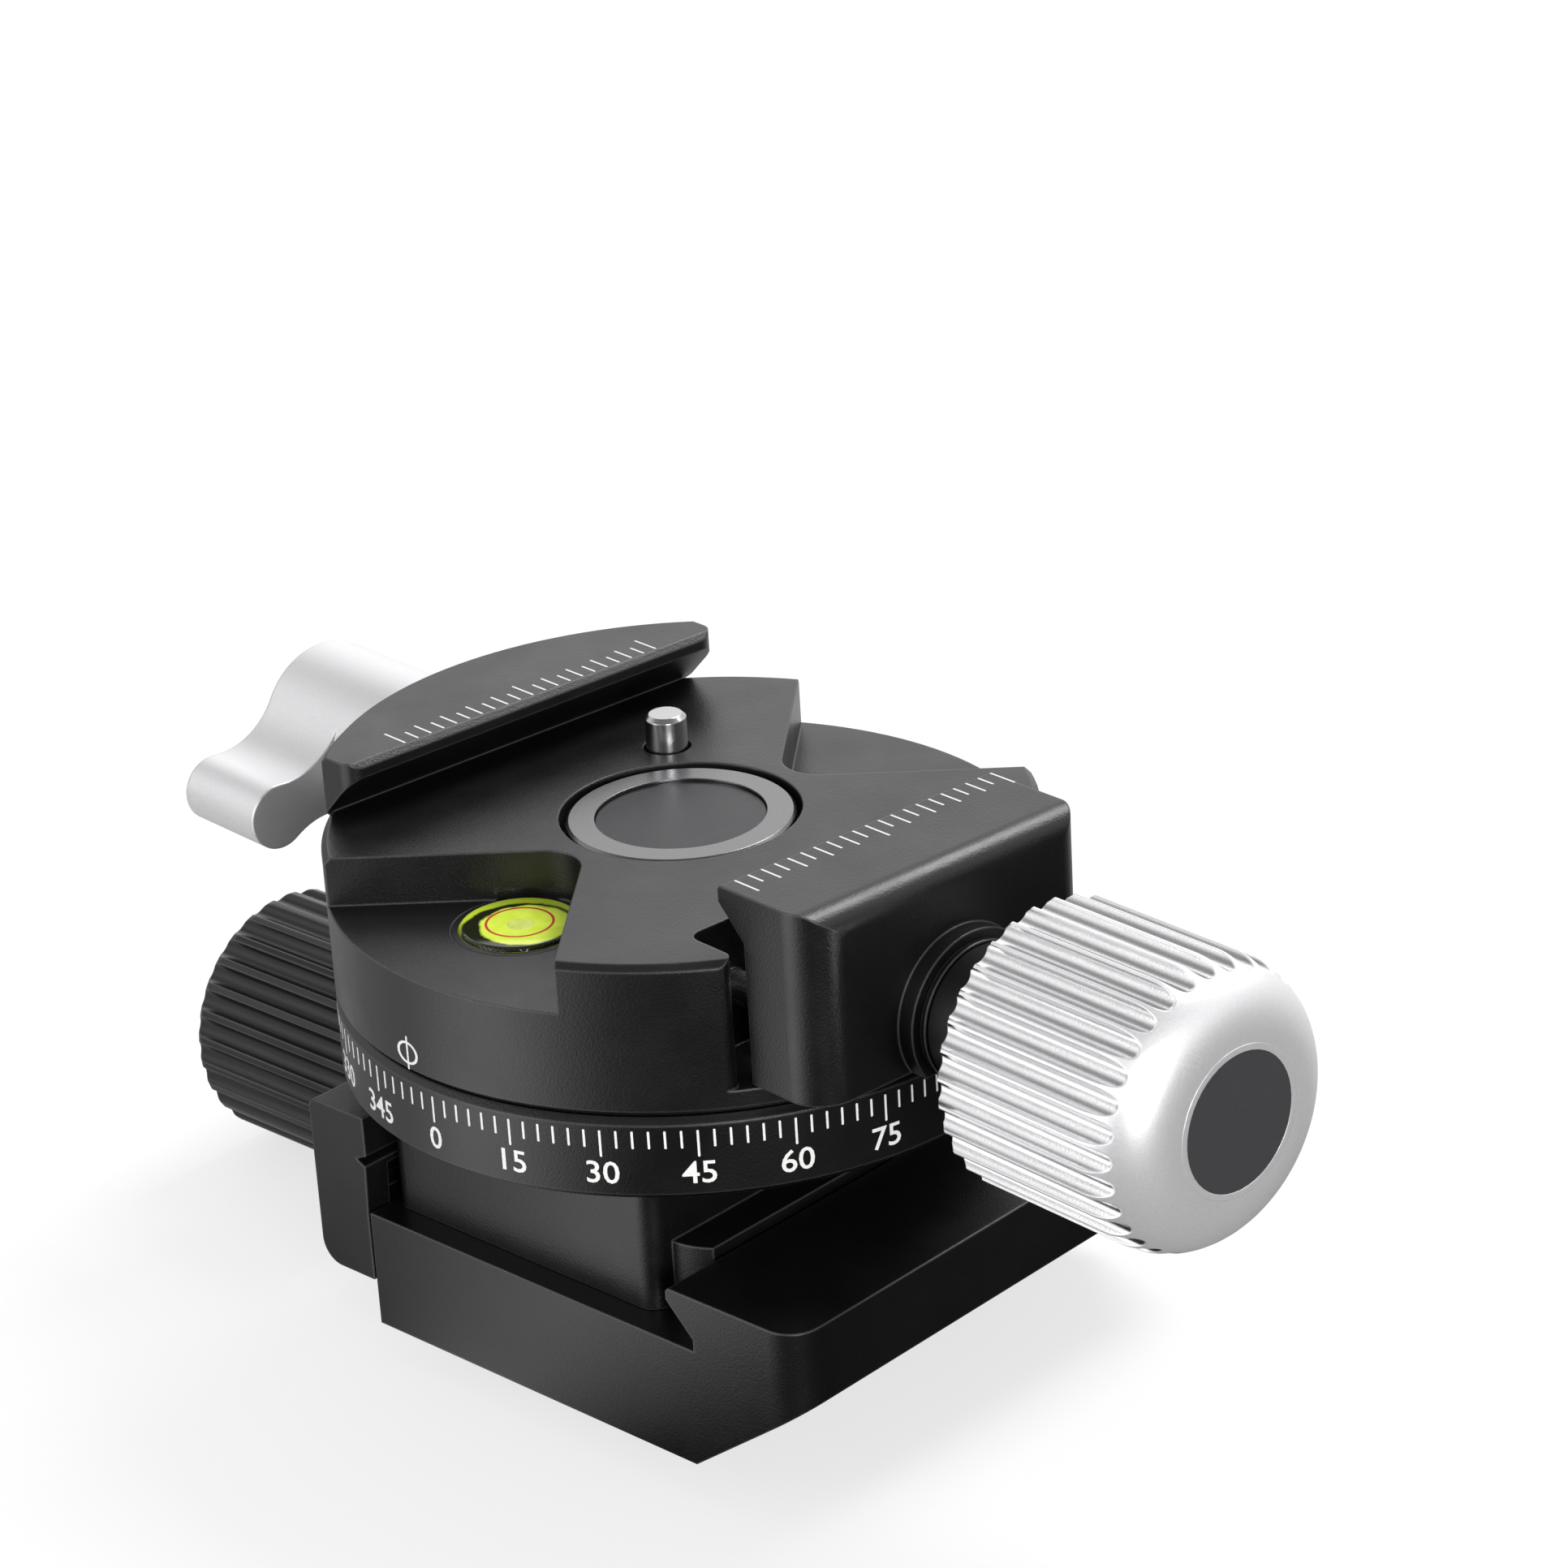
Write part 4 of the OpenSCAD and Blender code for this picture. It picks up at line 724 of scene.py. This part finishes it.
bpy.ops.object.select_all(action="DESELECT")
bpy.ops.mesh.primitive_uv_sphere_add(segments=32, ring_count=16, radius=BUBBLE_RADIUS)
start_edit()
bpy.ops.transform.resize(value=(1.0, 1.0, BUBBLE_FLATTEN))
bpy.ops.mesh.bisect(plane_co=(0.0, 0.0, BUBBLE_TOP), plane_no=(0.0, 0.0, 1.0), clear_outer=True,
                    use_fill=True, threshold=WELD)
bpy.ops.mesh.select_all(action="SELECT")
bpy.ops.transform.translate(value=(vial_middle.x + BUBBLE_X, vial_middle.y + BUBBLE_Y,
                                   window_top - BUBBLE_SINK))
level_bubble = end_edit("level_bubble", bubble_air)
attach(level_bubble, "top")

# Bezel round the knob's inlay
inlay_rim = painted_ring("inlay_rim", RIM_INNER, RIM_OUTER, silver_knob)
start_edit()
bpy.ops.transform.resize(value=(1.0, 1.0, RIM_THICK / PAINT))
bpy.ops.object.mode_set(mode="OBJECT")
inlay_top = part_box("knob_inlay")[1].x
rim_middle = inlay_top + RIM_PROUD - RIM_THICK / 2
inlay_rim.data.transform(Matrix.Translation((rim_middle, 0.0, knob_level)) @ along_x)
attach(inlay_rim, "clamp_knob")


def studio_ring(tree, toward):
    """The strength of the studio in one direction, fading from each side to the next."""
    turn = add(tree, "ShaderNodeTexGradient", {"Vector": toward}, gradient_type="RADIAL").outputs["Fac"]
    ramp = add(tree, "ShaderNodeValToRGB", {"Fac": turn})
    stops = ramp.color_ramp.elements
    while len(stops) < len(STUDIO):
        stops.new(0.5)
    # All the stops are placed before any is coloured, because they sort themselves by place
    for stop, (place, _) in zip(stops, STUDIO):
        stop.position = place
    for stop, (_, value) in zip(stops, STUDIO):
        stop.color = (value / STUDIO_PEAK,) * 3 + (1.0,)
    return add(tree, "ShaderNodeMath", {0: ramp.outputs["Color"], 1: STUDIO_PEAK},
               operation="MULTIPLY").outputs["Value"]


# Floor, under the lowest point of the base knob: white paper that keeps the object's shadow. To reflections it
# glows with painted studio light, with painted shade near the object.
low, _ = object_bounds()
bpy.ops.object.select_all(action="DESELECT")
bpy.ops.mesh.primitive_plane_add(size=FLOOR_SIZE, location=(0.0, 0.0, low.z - FLOOR_GAP))
floor = bpy.context.object
floor.name = "floor"
floor_paper, paper, sheet_shader, where = blank_finish("White_paper_sweep")
sheet_shader.inputs["Base Color"].default_value = linear("#f4f4f4")
sheet_shader.inputs["Roughness"].default_value = 0.9
around = add(paper, "ShaderNodeVectorMath", {0: where}, operation="LENGTH").outputs["Value"]
near = add(paper, "ShaderNodeMapRange",
           {"Value": around, "From Min": DIM_FROM, "From Max": DIM_TO,
            "To Min": DIM_LEVEL, "To Max": 1.0}).outputs["Result"]
# What reflections see: the studio ring glowing on the floor, with painted shade near the object
mirrored = add(paper, "ShaderNodeMath", {0: studio_ring(paper, where), 1: near},
               operation="MULTIPLY").outputs["Value"]
painted_studio_glow = add(paper, "ShaderNodeEmission",
             {"Color": (1.0, 1.0, 1.0, 1.0), "Strength": mirrored}).outputs["Emission"]
white = add(paper, "ShaderNodeEmission",
            {"Color": (1.0, 1.0, 1.0, 1.0), "Strength": 1.0}).outputs["Emission"]
rays = add(paper, "ShaderNodeLightPath")
even = add(paper, "ShaderNodeMapRange",
           {"Value": around, "From Min": WHITE_FROM, "From Max": WHITE_TO,
            "To Min": WHITE_SHARE, "To Max": 1.0}).outputs["Result"]
share = add(paper, "ShaderNodeMath", {0: rays.outputs["Is Camera Ray"], 1: even},
            operation="MULTIPLY").outputs["Value"]
sheet = add(paper, "ShaderNodeMixShader",
            {0: share, 1: sheet_shader.outputs["BSDF"], 2: white}).outputs["Shader"]
sheet = add(paper, "ShaderNodeMixShader",
            {0: rays.outputs["Is Glossy Ray"], 1: sheet, 2: painted_studio_glow}).outputs["Shader"]
paper.links.new(sheet, paper.nodes["Material Output"].inputs["Surface"])
floor.data.materials.append(floor_paper)

# World: white to the eye and softer as light. Gloss sees the studio ring low down and a dark ceiling.
world = bpy.data.worlds.new("studio")
bpy.context.scene.world = world
world.use_nodes = True
sky = world.node_tree
sky.nodes.clear()
path = add(sky, "ShaderNodeLightPath")
seen = add(sky, "ShaderNodeMath", {0: path.outputs["Is Camera Ray"], 1: path.outputs["Is Glossy Ray"]},
           operation="MAXIMUM").outputs["Value"]
seen = add(sky, "ShaderNodeMath", {0: seen, 1: path.outputs["Is Transmission Ray"]},
           operation="MAXIMUM").outputs["Value"]
strength = add(sky, "ShaderNodeMapRange",
               {"Value": seen, "To Min": SKY_AS_LIGHT, "To Max": 1.0}).outputs["Result"]
toward = add(sky, "ShaderNodeTexCoord").outputs["Generated"]
height = add(sky, "ShaderNodeSeparateXYZ", {0: toward}).outputs["Z"]
high_sky = add(sky, "ShaderNodeMapRange",
               {"Value": height, "From Min": CEILING_FROM, "From Max": CEILING_TO,
                "To Min": 0.0, "To Max": CEILING_DIM}, interpolation_type="SMOOTHSTEP").outputs["Result"]
ceiling = add(sky, "ShaderNodeMath", {0: high_sky, 1: path.outputs["Is Glossy Ray"]},
              operation="MULTIPLY").outputs["Value"]
strength = add(sky, "ShaderNodeMix", {0: ceiling, 2: strength, 3: 0.0}, data_type="FLOAT").outputs[0]
low_sky = add(sky, "ShaderNodeMapRange",
              {"Value": height, "From Min": RING_FROM, "From Max": RING_TO,
               "To Min": 1.0, "To Max": 0.0}, interpolation_type="SMOOTHSTEP").outputs["Result"]
ringed = add(sky, "ShaderNodeMath", {0: low_sky, 1: path.outputs["Is Glossy Ray"]},
             operation="MULTIPLY").outputs["Value"]
strength = add(sky, "ShaderNodeMix", {0: ringed, 2: strength, 3: studio_ring(sky, toward)},
               data_type="FLOAT").outputs[0]
glow = add(sky, "ShaderNodeBackground", {"Color": (1.0, 1.0, 1.0, 1.0), "Strength": strength})
add(sky, "ShaderNodeOutputWorld", {"Surface": glow.outputs["Background"]})

# Soft square lamps, each looking at one point
for name, place, aim, size, power in LAMPS:
    data = bpy.data.lights.new(name, "AREA")
    data.shape = "SQUARE"
    data.size = size
    data.energy = power
    lamp = bpy.data.objects.new(name, data)
    bpy.context.scene.collection.objects.link(lamp)
    lamp.location = place
    lamp.rotation_euler = (Vector(aim) - Vector(place)).to_track_quat("-Z", "Y").to_euler()

camera = bpy.data.objects.new("camera", bpy.data.cameras.new("camera"))
bpy.context.scene.collection.objects.link(camera)
camera.data.lens = CAMERA_LENS
camera.data.sensor_width = CAMERA_SENSOR
camera.data.clip_start = CAMERA_NEAR
camera.location = CAMERA_PLACE
camera.rotation_euler = [math.radians(a) for a in CAMERA_TURN]
bpy.context.scene.camera = camera
